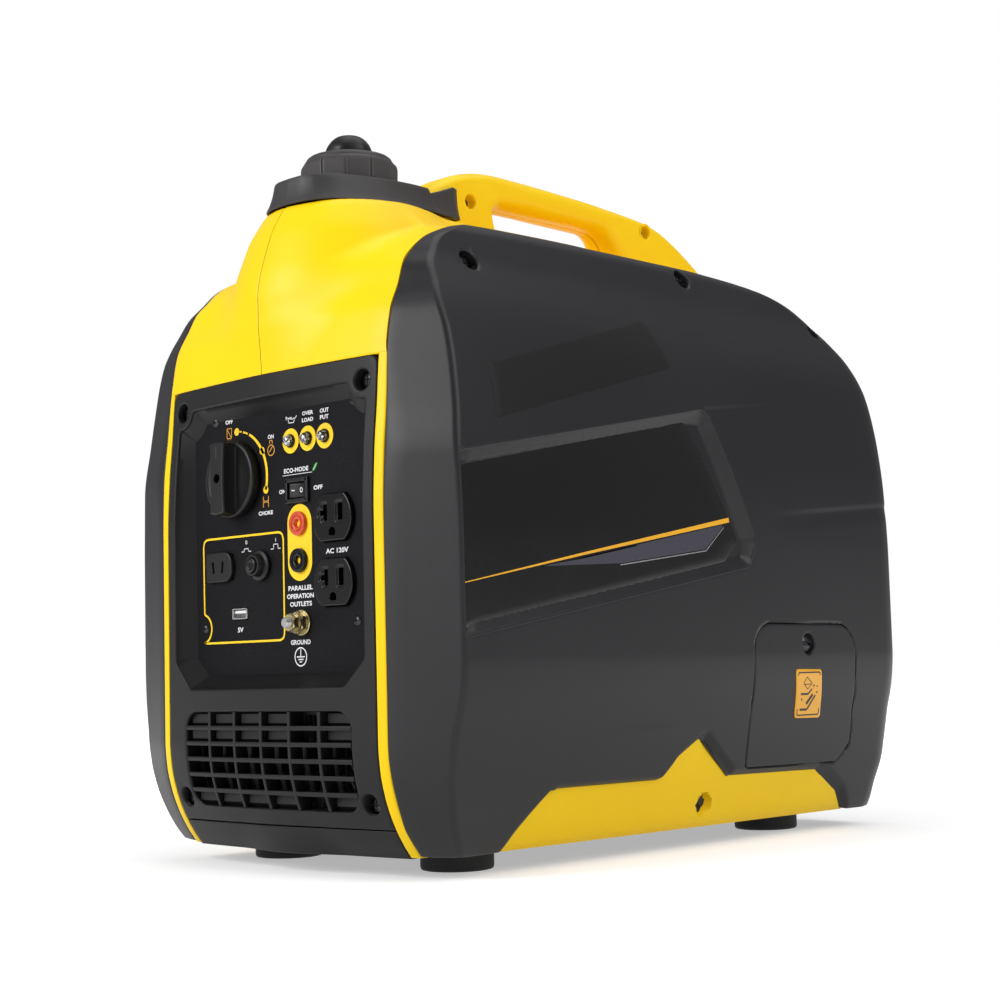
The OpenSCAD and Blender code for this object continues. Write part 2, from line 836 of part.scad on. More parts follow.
module fuel_tank() {
    wall = 1.6;
    color([0.2, 0.2, 0.21]) difference() {
        union() {
            tank_form(0);
            translate([0, filler_y, deck_h - 37]) cylinder(r = filler_r, h = filler_top - deck_h + 37);
        }
        tank_form(wall);
        translate([0, filler_y, deck_h - 47]) cylinder(r = filler_r - wall, h = 100);
    }
}

module tank_form(d) {
    intersection() {
        envelope(shell_in + 4 + d);
        block([-92 + d, front_y + 50 + d, ledge_z + gap + d], [92 - d, -44 - d, deck_h - 15 - d]);
    }
}

module cap_insert() {
    color([0.12, 0.12, 0.12]) translate([0, filler_y, 0]) {
        difference() {
            translate([0, 0, filler_top - 11]) cylinder(r = filler_r + 4, h = 16);
            translate([0, 0, filler_top - 12]) cylinder(r = filler_r + 0.4, h = 12 + gap);
            translate([0, 0, filler_top]) cylinder(r = 6, h = 10);
        }
    }
}

module fuel_cap() {
    color(charcoal) translate([0, filler_y, 0]) difference() {
        union() {
            translate([0, 0, filler_top - 12]) cylinder(r = cap_r - 1.2, h = cap_top - filler_top + 8);
            translate([0, 0, cap_top - 4]) cylinder(r1 = cap_r - 1.2, r2 = vent_r + 6, h = 4);
            for (a = [0 : 30 : 330]) rotate(a)
                translate([cap_r - 6, -5.8, filler_top - 12]) cube([6, 11.6, cap_top - filler_top + 5]);
        }
        translate([0, 0, filler_top - 13]) cylinder(r = filler_r + 4 + running, h = 18 + running);
        cylinder(r = 5 + running, h = 500);
    }
}

module cap_vent_knob() {
    color(panel_black) translate([0, filler_y, 0]) {
        translate([0, 0, filler_top + 6]) cylinder(r = 5, h = cap_top - filler_top - 5);
        translate([0, 0, cap_top + gap]) cylinder(r = vent_r, h = vent_top - cap_top - 4 - gap);
        translate([0, 0, vent_top - 4]) cylinder(r1 = vent_r, r2 = vent_r - 5, h = 4);
    }
}

module handle_screws() {
    color(bright) for (s = handle_screw_spots) translate([0, s.x, s.y]) rotate([0, 90, 0]) {
        translate([0, 0, -handle_half + 4]) cylinder(r = 1.9, h = 2 * handle_half - 7.5);
        translate([0, 0, handle_half - 3.9]) cylinder(r = 4.2, h = 2);
    }
}

// ---- Control panel

module panel_screw_spots() {
    for (p = [[-57.2, 267.8], [69.4, 266.7], [-69.6, 142.4], [69.6, 142.4]]) on_panel(p.x, p.y) children();
}

module control_plate() {
    color(panel_black) difference() {
        intersection() {
            along_y(rounded(inset(opening_corners(), -cover_wall), 2), plate_y, plate_y + plate_t);
            envelope(shell_in + 1);
        }
        panel_screw_spots() cylinder(r = 2, h = 20, center = true);
        bezel_spots() cylinder(r = 2.2, h = body_l);
        on_panel(knob_x, knob_z) cylinder(r = knob_shaft_r + 0.3, h = 20, center = true);
        on_panel(rocker_x, rocker_z) cube([rocker_w - 4, rocker_h - 3, 20], center = true);
        for (i = [0 : 2])
            on_panel(lamp_x + i * lamp_pitch, lamp_z) cylinder(r = lamp_r + 0.2, h = 20, center = true);
        for (z = [jack_red_z, jack_black_z])
            on_panel(jack_x, z) cylinder(r = jack_r - 1.8, h = 20, center = true);
        for (z = [outlet_low_z, outlet_high_z]) on_panel(outlet_x, z) outlet_face(-0.2, 20);
        on_panel(dc_x, dc_z) cube([dc_w - 3, dc_h - 3, 20], center = true);
        on_panel(breaker_x, breaker_z) cylinder(r = button_r + 1.7, h = 20, center = true);
        on_panel(usb_x, usb_z) cube([14.6, 7.4, 20], center = true);
        on_panel(ground_x, ground_z) cylinder(r = stud_r + 0.2, h = 20, center = true);
    }
}

module panel_screws() {
    color(bright) panel_screw_spots() {
        translate([0, 0, -9]) cylinder(r = 1.8, h = 10);
        difference() {
            translate([0, 0, 0.1]) cylinder(r = 4, h = 2);
            translate([0, 0, 1.2]) cylinder(r = 2, h = 3, $fn = 6);
        }
    }
}

module engine_knob() {
    color([0.13, 0.13, 0.14]) on_panel(knob_x, knob_z) difference() {
        union() {
            translate([0, 0, 0.4]) cylinder(r = knob_r, h = knob_disc - 0.4);
            intersection() {
                cylinder(r = knob_r - 0.5, h = knob_h);
                translate([-7.2, -knob_r, knob_disc - 1]) cube([14.4, 2 * knob_r, knob_h]);
            }
            translate([0, 0, -24]) cylinder(r = knob_shaft_r, h = 26);
        }
        translate([0, 0, knob_h - 5]) cylinder(r = 2.8, h = 10);
    }
}

module engine_switch() {
    color([0.2, 0.2, 0.21]) on_panel(knob_x, knob_z, plate_t + gap) difference() {
        translate([-22, -22, -24]) cube([44, 44, 24]);
        translate([0, 0, -23]) cylinder(r = knob_shaft_r + running, h = 40);
    }
}

module rocker_frame() {
    color(panel_black) on_panel(rocker_x, rocker_z) difference() {
        union() {
            translate([-rocker_w / 2, -rocker_h / 2, 0.1]) cube([rocker_w, rocker_h, 2]);
            translate([-rocker_w / 2 + 2.3, -rocker_h / 2 + 1.8, -18])
                cube([rocker_w - 4.6, rocker_h - 3.6, 19]);
        }
        translate([-rocker_w / 2 + 3.2, -rocker_h / 2 + 3, -9]) cube([rocker_w - 6.4, rocker_h - 6, 20]);
    }
}

// The rocker rests tilted to OFF and swings about its pivot
rocker_tilt = 9;

module eco_rocker() {
    len_x = rocker_w - 9;
    len_z = rocker_h - 6.8;
    color([0.22, 0.22, 0.25]) on_panel(rocker_x, rocker_z) translate([0, 0, -2.5])
        rotate([0, rocker_tilt, 0])
        difference() {
            translate([-len_x / 2, -len_z / 2, -2]) cube([len_x, len_z, 7.4]);
            rotate([-90, 0, 0]) translate([0, -23.5, 0]) cylinder(r = 20, h = 30, center = true);
        }
}

module indicator_lamps() {
    color([0.85, 0.87, 0.9]) for (i = [0 : 2]) on_panel(lamp_x + i * lamp_pitch, lamp_z) {
        translate([0, 0, -12]) cylinder(r = lamp_r, h = 13);
        translate([0, 0, 0.1]) cylinder(r = lamp_r + 0.8, h = 1.2);
        translate([0, 0, 1]) cylinder(r1 = lamp_r, r2 = 1, h = 2.2);
    }
}

module jack(tint, z) {
    color(tint) on_panel(jack_x, z) difference() {
        union() {
            translate([0, 0, 0.1]) cylinder(r = jack_r, h = 2.4);
            translate([0, 0, -20]) cylinder(r = jack_r - 2, h = 21);
        }
        translate([0, 0, -16]) cylinder(r = jack_bore_r, h = 30);
    }
}

module parallel_jack_red() {
    jack([0.85, 0.22, 0.12], jack_red_z);
}

module parallel_jack_black() {
    jack(panel_black, jack_black_z);
}

module outlet_face(grow, h) {
    intersection() {
        cylinder(r = outlet_w / 2 - grow, h = h, center = true);
        cube([outlet_w, outlet_h - 2 * grow, h], center = true);
    }
}

module outlet(z) {
    color(panel_black) on_panel(outlet_x, z) difference() {
        translate([0, 0, -13]) outlet_face(0, 32);
        translate([-7.6, 3, -7]) cube([2.2, 8, 20]);
        translate([4, 2.5, -7]) cube([4.4, 9, 20]);
        translate([4, 5.2, -7]) translate([-3, 0, 0]) cube([4, 2.4, 20]);
        translate([0, -6.6, -9]) cylinder(r = 2.4, h = 20);
    }
}

module ac_outlet_upper() {
    outlet(outlet_high_z);
}

module ac_outlet_lower() {
    outlet(outlet_low_z);
}

module dc_socket() {
    color(panel_black) on_panel(dc_x, dc_z) difference() {
        union() {
            translate([-dc_w / 2, -dc_h / 2, 0.1]) cube([dc_w, dc_h, 2.6]);
            translate([-dc_w / 2 + 1.7, -dc_h / 2 + 1.7, -16]) cube([dc_w - 3.4, dc_h - 3.4, 17]);
        }
        for (x = [-5.5, 4]) translate([x, -4, -12]) cube([1.6, 8, 20]);
    }
}

breaker_h = 7.5;

module dc_breaker() {
    color([0.13, 0.13, 0.14]) on_panel(breaker_x, breaker_z) difference() {
        union() {
            translate([0, 0, 0.1]) cylinder(r = breaker_r, h = 2.4);
            translate([0, 0, 2]) cylinder(r = breaker_r - 2.4, h = breaker_h - 2);
            translate([0, 0, -22]) cylinder(r = button_r + 1.4, h = 23);
        }
        translate([0, 0, -14]) cylinder(r = button_r + running, h = 40);
    }
}

module breaker_button() {
    color(charcoal) on_panel(breaker_x, breaker_z)
        translate([0, 0, -14 + button_travel + 0.5]) cylinder(r = button_r, h = breaker_h + 14 - 0.5);
}

module usb_port() {
    color(bright) on_panel(usb_x, usb_z) difference() {
        translate([-7.1, -3.5, -12]) cube([14.2, 7, 12.8]);
        translate([-6.5, -2.9, -10]) cube([13, 5.8, 20]);
    }
    color([0.9, 0.9, 0.9]) on_panel(usb_x, usb_z)
        translate([-5.6, -0.2, -11]) cube([11.2, 2, 10]);
}

module ground_stud() {
    color(bright) on_panel(ground_x, ground_z) {
        translate([0, 0, -12]) cylinder(r = stud_r, h = 12 + 11.2);
        translate([0, 0, -12]) cylinder(r = stud_r - 0.25, h = 12 + 14);
        translate([0, 0, -plate_t - 5]) cylinder(r = 6, h = 5 - 0.1, $fn = 6);
    }
}

module ground_nuts() {
    color([0.72, 0.66, 0.45]) on_panel(ground_x, ground_z) difference() {
        union() {
            translate([0, 0, 0.1]) cylinder(r = 7.5, h = 1.4);
            translate([0, 0, 1.6]) cylinder(r = 6.4, h = 4, $fn = 6);
            translate([0, 0, 5.7]) cylinder(r = 5.6, h = 1);
            translate([0, 0, 6.8]) cylinder(r = 5, h = 4, $fn = 6);
        }
        cylinder(r = stud_r + 0.02, h = 60, center = true);
    }
}

// ---- Intake baffle and electronics behind the panel

module intake_baffle() {
    pitch_x = 2 * grille_half / grille_columns;
    color(panel_black) difference() {
        union() {
            intersection() {
                skin(grille_depth + 5 * gap, grille_depth + 5 * gap + 2);
                grille_zone(3);
            }
            intersection() {
                skin(grille_depth + 5 * gap + 1, grille_depth + 14);
                for (i = [-grille_columns / 2 : grille_columns / 2], z = [50, 58, 66])
                    block([i * pitch_x - 1, front_y, z], [i * pitch_x + 1, front_y + 40, z + 5]);
            }
        }
        bezel_spots() cylinder(r = boss_r + gap, h = body_l);
        for (i = [0 : grille_columns - 1])
            block([-grille_half + i * pitch_x + 2, front_y - 1, grille_low + 10],
                [-grille_half + (i + 1) * pitch_x - 2, front_y + 50, grille_high - 20]);
        block([pitch_x + 2, front_y - 1, grille_high - 18],
            [2 * pitch_x - 2, front_y + 50, grille_high - 2]);
    }
}

inverter_half = foot_x - 9.4;

module inverter_module() {
    color(alloy) {
        difference() {
            block([-inverter_half, -150, pan_floor + gap], [inverter_half, -112, 210]);
            block([-inverter_half + 4, -146, pan_floor + 4], [inverter_half - 4, -116, 206]);
        }
        for (i = [-6 : 6])
            block([i * 9.5 - 1, -112.5, 40], [i * 9.5 + 1, -100, 200]);
    }
}

// ---- Engine: the crank lies along X, the cylinder stands on the case over it

case_half = 34;
case_right = case_half + 26;
mount_h = 22;
case_low = pan_floor + mount_h + gap;
case_top = crank_z + 46;
bore_x = 14;
oil_y = crank_y + 36;
oil_z = 102;
barrel_wall = 6;
barrel_h = 68;
barrel_z = case_top + gap / 3;
head_z = barrel_z + barrel_h + gap / 3;
port_z = barrel_z + 40;
port_reach = 44;

module mount_spots() {
    for (x = [-30, 56], y = [crank_y - 50, crank_y + 50]) translate([x, y, 0]) children();
}

module engine_mounts() {
    color([0.08, 0.08, 0.08]) mount_spots()
        translate([0, 0, pan_floor + gap / 3]) cylinder(r = 13, h = mount_h);
}

module along_crank(x) {
    translate([x, crank_y, crank_z]) rotate([0, 90, 0]) children();
}

module crankcase() {
    color(alloy) difference() {
        union() {
            block([-44, crank_y - 62, case_low], [case_right + 10, crank_y + 62, case_low + 8]);
            block([-case_half, crank_y - 48, case_low + 7], [case_right, crank_y + 48, case_top]);
            translate([case_right - 1, oil_y, oil_z]) rotate([0, 90, 0]) cylinder(r = 17, h = 26);
        }
        block([-case_half + 6, crank_y - 40, case_low + 14], [case_right - 12, crank_y + 40, case_top - 8]);
        along_crank(-case_half - 1) cylinder(r = journal_r + running, h = case_half + case_right - 1);
        translate([bore_x, crank_y, crank_z]) cylinder(r = bore_r + 0.5, h = 80);
        translate([case_right - 20, oil_y, oil_z]) rotate([0, 90, 0]) cylinder(r = 11, h = 60);
    }
}

module cylinder_fins(n) {
    for (k = [0 : n - 1]) translate([0, 0, 12 + k * 9]) cylinder(r = bore_r + 20, h = 3);
}

module cylinder_barrel() {
    color(alloy) translate([bore_x, crank_y, barrel_z]) difference() {
        union() {
            cylinder(r = bore_r + barrel_wall, h = barrel_h);
            cylinder(r = bore_r + 15, h = 6);
            cylinder_fins(6);
            block([0, -10, port_z - barrel_z - 10], [port_reach, 10, port_z - barrel_z + 10]);
            block([-10, 0, port_z - barrel_z - 10], [10, port_reach, port_z - barrel_z + 10]);
        }
        translate([0, 0, -1]) cylinder(r = bore_r, h = barrel_h + 2);
        translate([bore_r - 2, 0, port_z - barrel_z]) rotate([0, 90, 0]) cylinder(r = 6, h = 40);
        translate([0, bore_r - 2, port_z - barrel_z]) rotate([-90, 0, 0]) cylinder(r = 6, h = 40);
    }
}

module cylinder_head() {
    color(alloy) translate([bore_x, crank_y, head_z]) difference() {
        union() {
            cylinder(r = bore_r + 14, h = 22);
            for (k = [0 : 1]) translate([0, 0, 6 + k * 8]) cylinder(r = bore_r + 20, h = 3);
            block([-22, -26, 20], [22, 26, 34]);
        }
        translate([0, 0, -1]) cylinder(r = bore_r - 3, h = 7);
        cylinder(r = 5.1, h = 60);
        translate([0, 0, 24]) cylinder(r = 11, h = 20);
    }
}

module spark_plug() {
    color([0.9, 0.9, 0.87]) translate([bore_x, crank_y, head_z]) {
        translate([0, 0, 7]) cylinder(r = 5, h = 18);
        translate([0, 0, 24.1]) cylinder(r = 9.2, h = 8, $fn = 6);
        translate([0, 0, 32]) cylinder(r = 8, h = 22);
    }
}

piston_h = 34;
piston_low = crank_z + 42;

module piston() {
    color(bright) translate([bore_x, crank_y, piston_low]) difference() {
        cylinder(r = bore_r - running, h = piston_h);
        translate([0, 0, -1]) cylinder(r = bore_r - 4, h = piston_h - 6);
    }
}

module crankshaft() {
    color(bright) {
        along_crank(-66) cylinder(r = journal_r, h = 66 + bore_x - 8);
        along_crank(bore_x + 8) cylinder(r = journal_r, h = case_right - bore_x - 11);
        along_crank(-100) cylinder(r = journal_r - 2, h = 35);
        for (x = [bore_x - 18, bore_x + 8]) along_crank(x) cylinder(r = 34, h = 10);
        along_crank(bore_x - 9) translate([crank_throw, 0, 0]) cylinder(r = 9, h = 18);
    }
}

module stator() {
    color([0.72, 0.45, 0.2]) along_crank(-case_half - gap - 25) difference() {
        cylinder(r = rotor_r - 10, h = 25);
        translate([0, 0, -1]) cylinder(r = journal_r + 6, h = 27);
        for (a = [0 : 30 : 330]) rotate(a) translate([journal_r + 20, -2.5, -1]) cube([rotor_r, 5, 27]);
    }
}

module flywheel_rotor() {
    shaft = journal_r - 2 + running;
    color(alloy) along_crank(-80) {
        rotate_extrude() polygon([[shaft, -16], [26, -16], [28, -3], [fan_r - 1, -3], [fan_r - 1, 1],
            [rotor_r, 3], [rotor_r, 41], [rotor_r - 8, 41], [rotor_r - 8, 12], [shaft, 12]]);
        for (i = [0 : fan_blades - 1]) rotate(i * 360 / fan_blades)
            translate([24, -1.25, -13]) cube([fan_r - 28, 2.5, 11]);
    }
}

shroud_wall = 3;
shroud_r = fan_r + 6;
shroud_left = 20 - half_w;
post_r = 8;

module recoil_housing() {
    color(charcoal) along_crank(shroud_left) difference() {
        union() {
            cylinder(r = shroud_r, h = -case_half - gap - shroud_left);
            translate([-shroud_r * 0.75, shroud_r * 0.3, 0]) cylinder(r = 8, h = 20);
        }
        difference() {
            translate([0, 0, shroud_wall]) cylinder(r = shroud_r - shroud_wall, h = 200);
            cylinder(r = post_r, h = 20);
        }
        for (a = [0 : 30 : 330]) rotate(a) translate([52, 0, -1]) cylinder(r = 8, h = 6);
    }
}

module recoil_pulley() {
    color(panel_black) along_crank(shroud_left + shroud_wall + 1) rotate_extrude()
        polygon([[post_r + running, 0], [pulley_r, 0], [pulley_r, 2.5], [pulley_r - 12, 2.5],
            [pulley_r - 12, 8.5],
            [pulley_r, 8.5], [pulley_r, 11], [post_r + running, 11]]);
}

module recoil_rope() {
    color([0.85, 0.85, 0.8]) along_crank(shroud_left + shroud_wall + 1) rotate_extrude()
        polygon([[pulley_r - 11.8, 2.7], [pulley_r - 2, 2.7], [pulley_r - 2, 8.3], [pulley_r - 11.8, 8.3]]);
}

grip_half = dish_r - 12;

module recoil_grip() {
    color(panel_black) mirror([1, 0, 0]) dish_axis() {
        translate([0, 0, gap]) cylinder(r = 6, h = 6);
        translate([-grip_half, -7.5, 4]) cube([2 * grip_half, 15, dish_depth - 5.5]);
        for (x = [-grip_half, grip_half]) translate([x, 0, 4]) cylinder(r = 7.5, h = dish_depth - 5.5);
    }
}

module carburettor() {
    x0 = bore_x + port_reach + gap;
    color(alloy) difference() {
        union() {
            block([x0, crank_y - 15, port_z - 15], [x0 + 34, crank_y + 15, port_z + 15]);
            translate([x0 + 17, crank_y, port_z - 26]) cylinder(r = 12, h = 14);
        }
        translate([x0 - 1, crank_y, port_z]) rotate([0, 90, 0]) cylinder(r = 8, h = 50);
    }
}

cleaner_out = half_w - 21.4;

module air_cleaner() {
    x0 = bore_x + port_reach + 34 + 2 * gap;
    color([0.15, 0.15, 0.16]) difference() {
        block([x0, crank_y - 42, port_z - 34], [cleaner_out, crank_y + 40, port_z + 30]);
        block([x0 + 3, crank_y - 39, port_z - 31], [cleaner_out - 3, crank_y + 37, port_z + 27]);
        translate([x0 - 1, crank_y, port_z]) rotate([0, 90, 0]) cylinder(r = 8, h = 10);
    }
}

muffler_y = crank_y + port_reach + gap;

module muffler() {
    color([0.5, 0.49, 0.48]) difference() {
        along_x(rounded([[muffler_y, port_z - 38, 10], [muffler_y + 84, port_z - 38, 10],
            [muffler_y + 84, port_z + 44, 10], [muffler_y, port_z + 44, 10]], 3), -26, 72);
        along_x(rounded([[muffler_y + 2, port_z - 36, 8], [muffler_y + 82, port_z - 36, 8],
            [muffler_y + 82, port_z + 42, 8], [muffler_y + 2, port_z + 42, 8]], 3), -24, 70);
        translate([bore_x, muffler_y - 1, port_z]) rotate([-90, 0, 0]) cylinder(r = 6, h = 5);
        translate([exhaust_x, muffler_y + 80, exhaust_z]) rotate([-90, 0, 0])
            cylinder(r = exhaust_r - 3, h = 10);
    }
}

module exhaust_outlet() {
    y0 = muffler_y + 84 + gap;
    color([0.42, 0.41, 0.4]) translate([exhaust_x, y0, exhaust_z]) rotate([-90, 0, 0]) difference() {
        union() {
            cylinder(r = exhaust_r + 5, h = 3);
            cylinder(r = exhaust_r, h = rear_y - 1 - y0);
        }
        translate([0, 0, -1]) cylinder(r = exhaust_r - 3, h = body_l);
    }
}

module oil_cap() {
    color([0.12, 0.12, 0.12]) translate([case_right + 25 + gap, oil_y, oil_z]) rotate([0, 90, 0]) {
        cylinder(r = 16, h = 10);
        translate([0, 0, -26]) cylinder(r = 11 - running, h = 27);
        translate([-15, -3, 9]) cube([30, 6, 8]);
    }
}

base_pan();
feet();
foot_bolts();
shell_right();
shell_left();
side_panel_right();
side_panel_left();
front_bezel();
front_skirt();
control_plate();
intake_baffle();
rear_cover();
exhaust_outlet();
label_plate_right();
label_plate_left();
maintenance_cover();
cover_screw();
service_plate();
filler_tray();
fuel_tank();
cap_insert();
fuel_cap();
cap_vent_knob();
handle_screws();
bezel_screws();
panel_screws();
side_screws();
engine_knob();
engine_switch();
eco_rocker();
rocker_frame();
indicator_lamps();
parallel_jack_red();
parallel_jack_black();
ac_outlet_upper();
ac_outlet_lower();
dc_socket();
dc_breaker();
breaker_button();
usb_port();
ground_stud();
ground_nuts();
inverter_module();
engine_mounts();
crankcase();
cylinder_barrel();
cylinder_head();
piston();
crankshaft();
flywheel_rotor();
stator();
recoil_housing();
recoil_pulley();
recoil_rope();
recoil_grip();
carburettor();
air_cleaner();
muffler();
spark_plug();
oil_cap();
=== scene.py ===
# Portable inverter generator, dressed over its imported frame.
# Lengths are worked out in millimetres and put into the meshes in metres.
import math

import bmesh
import bpy
import numpy as np
from mathutils import Matrix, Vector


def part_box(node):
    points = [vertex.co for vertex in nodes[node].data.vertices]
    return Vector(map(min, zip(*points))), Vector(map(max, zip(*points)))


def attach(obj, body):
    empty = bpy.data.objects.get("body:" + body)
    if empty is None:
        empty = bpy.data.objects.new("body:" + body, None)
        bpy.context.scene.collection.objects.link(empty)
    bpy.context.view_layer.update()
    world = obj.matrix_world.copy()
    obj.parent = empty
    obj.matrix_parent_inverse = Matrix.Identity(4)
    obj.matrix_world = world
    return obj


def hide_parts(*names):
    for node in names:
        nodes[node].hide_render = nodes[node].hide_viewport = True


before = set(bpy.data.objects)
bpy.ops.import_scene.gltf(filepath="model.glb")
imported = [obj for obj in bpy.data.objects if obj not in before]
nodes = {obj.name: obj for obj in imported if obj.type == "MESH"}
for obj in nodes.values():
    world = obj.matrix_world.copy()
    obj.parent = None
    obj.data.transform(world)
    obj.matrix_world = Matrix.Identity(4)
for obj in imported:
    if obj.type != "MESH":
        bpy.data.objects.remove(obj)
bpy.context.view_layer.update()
mm = 0.001
print("frame loaded,", len(nodes), "nodes")


def smoothCurve(xs, ys):
    # monotone cubic: each slope is the harmonic mean of the two chords beside its point
    xs, ys = np.asarray(xs, float), np.asarray(ys, float)
    step = np.diff(xs)
    chord = np.diff(ys) / step
    slope = np.zeros(len(xs))
    slope[0], slope[-1] = chord[0], chord[-1]
    same = chord[:-1] * chord[1:] > 0
    safe = np.where(same, chord[:-1] * chord[1:], 1.0)
    slope[1:-1] = np.where(same, 2 * safe / np.where(same, chord[:-1] + chord[1:], 1.0), 0.0)

    def at(x):
        x = np.clip(x, xs[0], xs[-1])
        i = np.clip(np.searchsorted(xs, x) - 1, 0, len(step) - 1)
        h = step[i]
        t = (x - xs[i]) / h
        u = 1 - t
        return (ys[i] * (1 + 2 * t) * u * u + slope[i] * h * t * u * u
                + ys[i + 1] * t * t * (3 - 2 * t) - slope[i + 1] * h * t * t * u)

    return at


def ease(t):
    # smooth step from 0 to 1: 3t^2 - 2t^3
    t = np.clip(t, 0.0, 1.0)
    return t * t * (3 - 2 * t)


def spread(*knots):
    # numbers from knot to knot: (start, count, next, count, last), each stretch in equal steps
    parts = [np.linspace(knots[i], knots[i + 2], knots[i + 1] + 1)[:-1] for i in range(0, len(knots) - 2, 2)]
    return np.concatenate(parts + [[knots[-1]]])


def edged(low, high, step, edge=(0.0, 0.12, 0.45, 1.0)):
    # even steps between low and high, closer at both ends for the rounded edges
    edge = np.asarray(edge)
    count = max(int(round((high - low - 2 * edge[-1]) / step)), 2)
    mid = np.linspace(low + edge[-1], high - edge[-1], count + 1)
    return np.concatenate([low + edge[:-1], mid, high - edge[:-1][::-1]])


def filleted(corners, n=6):
    # corners (across, up, radius) become arcs of n steps tangent to both of their sides
    pts = np.asarray(corners, float)
    q, rad = pts[:, :2], pts[:, 2]
    back = np.roll(q, 1, 0) - q
    fore = np.roll(q, -1, 0) - q
    lb = np.hypot(*back.T)
    lf = np.hypot(*fore.T)
    back, fore = back / lb[:, None], fore / lf[:, None]
    half = np.arccos(np.clip((back * fore).sum(1), -1, 1)) / 2
    reach = np.minimum(rad / np.tan(half), 0.48 * np.minimum(lb, lf))
    r = reach * np.tan(half)
    axis = back + fore
    axis = axis / np.maximum(np.hypot(*axis.T), 1e-9)[:, None]
    centre = q + axis * (r / np.sin(half))[:, None]
    a = q + back * reach[:, None] - centre
    b = q + fore * reach[:, None] - centre
    t = np.linspace(0, 1, n + 1)[None, :, None]
    arc = a[:, None] * (1 - t) + b[:, None] * t
    arc = arc / np.maximum(np.linalg.norm(arc, axis=2, keepdims=True), 1e-9) * r[:, None, None]
    return (centre[:, None] + arc).reshape(-1, 2)


def evenly(loop, step, closed=True):
    # the same line with points at equal distances along it
    p = np.vstack([loop, loop[:1]]) if closed else np.asarray(loop, float)
    d = np.concatenate([[0], np.cumsum(np.hypot(*np.diff(p, axis=0).T))])
    n = max(int(round(d[-1] / step)), 8)
    s = np.linspace(0, d[-1], n + 1)
    out = np.column_stack([np.interp(s, d, p[:, 0]), np.interp(s, d, p[:, 1])])
    return out[:-1] if closed else out


def outward(loop):
    # unit normals of a closed anticlockwise loop, from the chord between each point's neighbours
    t = np.roll(loop, -1, 0) - np.roll(loop, 1, 0)
    t = t / np.maximum(np.hypot(*t.T), 1e-9)[:, None]
    return np.column_stack([t[:, 1], -t[:, 0]])


def rounded(low, high, r, n):
    # the rectangle between two corners, its own corners rounded
    return filleted([[low[0], low[1], r], [high[0], low[1], r], [high[0], high[1], r], [low[0], high[1], r]],
                    n)


def circle(r, n=48, centre=(0.0, 0.0)):
    # n even points round a centre
    a = np.arange(n) * 2 * np.pi / n
    return np.column_stack([centre[0] + r * np.cos(a), centre[1] + r * np.sin(a)])


def toSegments(u, v, line, closed=True):
    # distance from each point to the nearest segment of a line
    p = np.asarray(line, float)
    q = np.roll(p, -1, 0) if closed else p[1:]
    best = np.full(np.shape(u), 1e9)
    for a, b in zip(p if closed else p[:-1], q):
        e = b - a
        t = np.clip(((u - a[0]) * e[0] + (v - a[1]) * e[1]) / max(e @ e, 1e-12), 0, 1)
        best = np.minimum(best, np.hypot(u - a[0] - t * e[0], v - a[1] - t * e[1]))
    return best


def inside(u, v, loop):
    # true where a level line from the point crosses the loop an odd number of times
    odd = np.zeros(np.shape(u), bool)
    for a, b in zip(loop, np.roll(loop, -1, 0)):
        if a[1] != b[1]:
            odd ^= ((a[1] > v) != (b[1] > v)) & (u < (b[0] - a[0]) * (v - a[1]) / (b[1] - a[1]) + a[0])
    return odd


def depthInside(u, v, loop):
    # how far inside the loop a point lies, negative outside
    d = toSegments(u, v, loop)
    return np.where(inside(u, v, loop), d, -d)


# half of the case's form, its widths and lengths as curves of height or length
caseForm = {
    "crownRadius": 840.0,
    "facetNormal": (0.366, -0.931),
    "fillerY": -153.0,
    "cornerRound": 2.6,
    "rearRound": 28.0,
    "deckRound": 10.0,
    "neckBlend": 15.0,
    "neckTop": 394.0,
    "base": 11.0,
    "reach": 420.0,
}
sideAt = smoothCurve([12, 19, 31, 43, 55, 68, 81, 93, 106, 120, 185, 209, 235, 248, 261, 273, 286, 300, 311,
                      323, 335, 350, 362, 370, 377, 390],
                     [124, 127, 130, 133, 135.2, 137.6, 140, 143, 145, 146, 146, 145.4, 144, 142.7, 141,
                      139.2, 136.8, 133.5, 129.5, 123.5, 116.5, 108, 103, 99.5, 95, 86])
frontAt = smoothCurve([12, 20, 32, 45, 60, 75, 200, 235, 263, 290, 315, 330, 348, 361, 373, 382],
                      [-206.6, -212.6, -219.6, -224.8, -228.3, -229.5, -229.5, -228, -225.4, -223.6, -218.8,
                       -211, -202.4, -186, -159, -125])
rearAt = smoothCurve([12, 26, 52, 100, 260, 286, 300, 313, 325, 337, 348, 358, 366, 372, 377],
                     [222, 224, 229.6, 230, 230, 229, 227.6, 225, 221.5, 214, 203, 189, 171, 142, 60])
facetAt = smoothCurve([12, 20, 32, 45, 60, 75, 230, 261, 286, 300, 312, 322, 330, 341, 349, 361, 369, 376],
                      [223.9, 229.5, 235.9, 240.8, 244.1, 245.2, 245.2, 241.6, 238.7, 237, 235, 231.5, 227.5,
                       221.8, 214.5, 202.5, 186, 170])
deckAt = smoothCurve([-240, -165, -115, -50, 53, 140, 172, 240], [373, 374, 376, 377, 377, 372.5, 369, 366])
neckAt = smoothCurve([270, 285, 294, 305, 322, 335, 348, 359, 367, 375, 384, 394, 402],
                     [58, 62.5, 65.5, 69.5, 73.4, 73.8, 71.8, 68.4, 65.6, 62.6, 57.6, 51.2, 45])
flankAt = smoothCurve([0, 30, 39, 46, 60, 90, 120], [396, 395, 393, 387, 379.5, 362, 345])


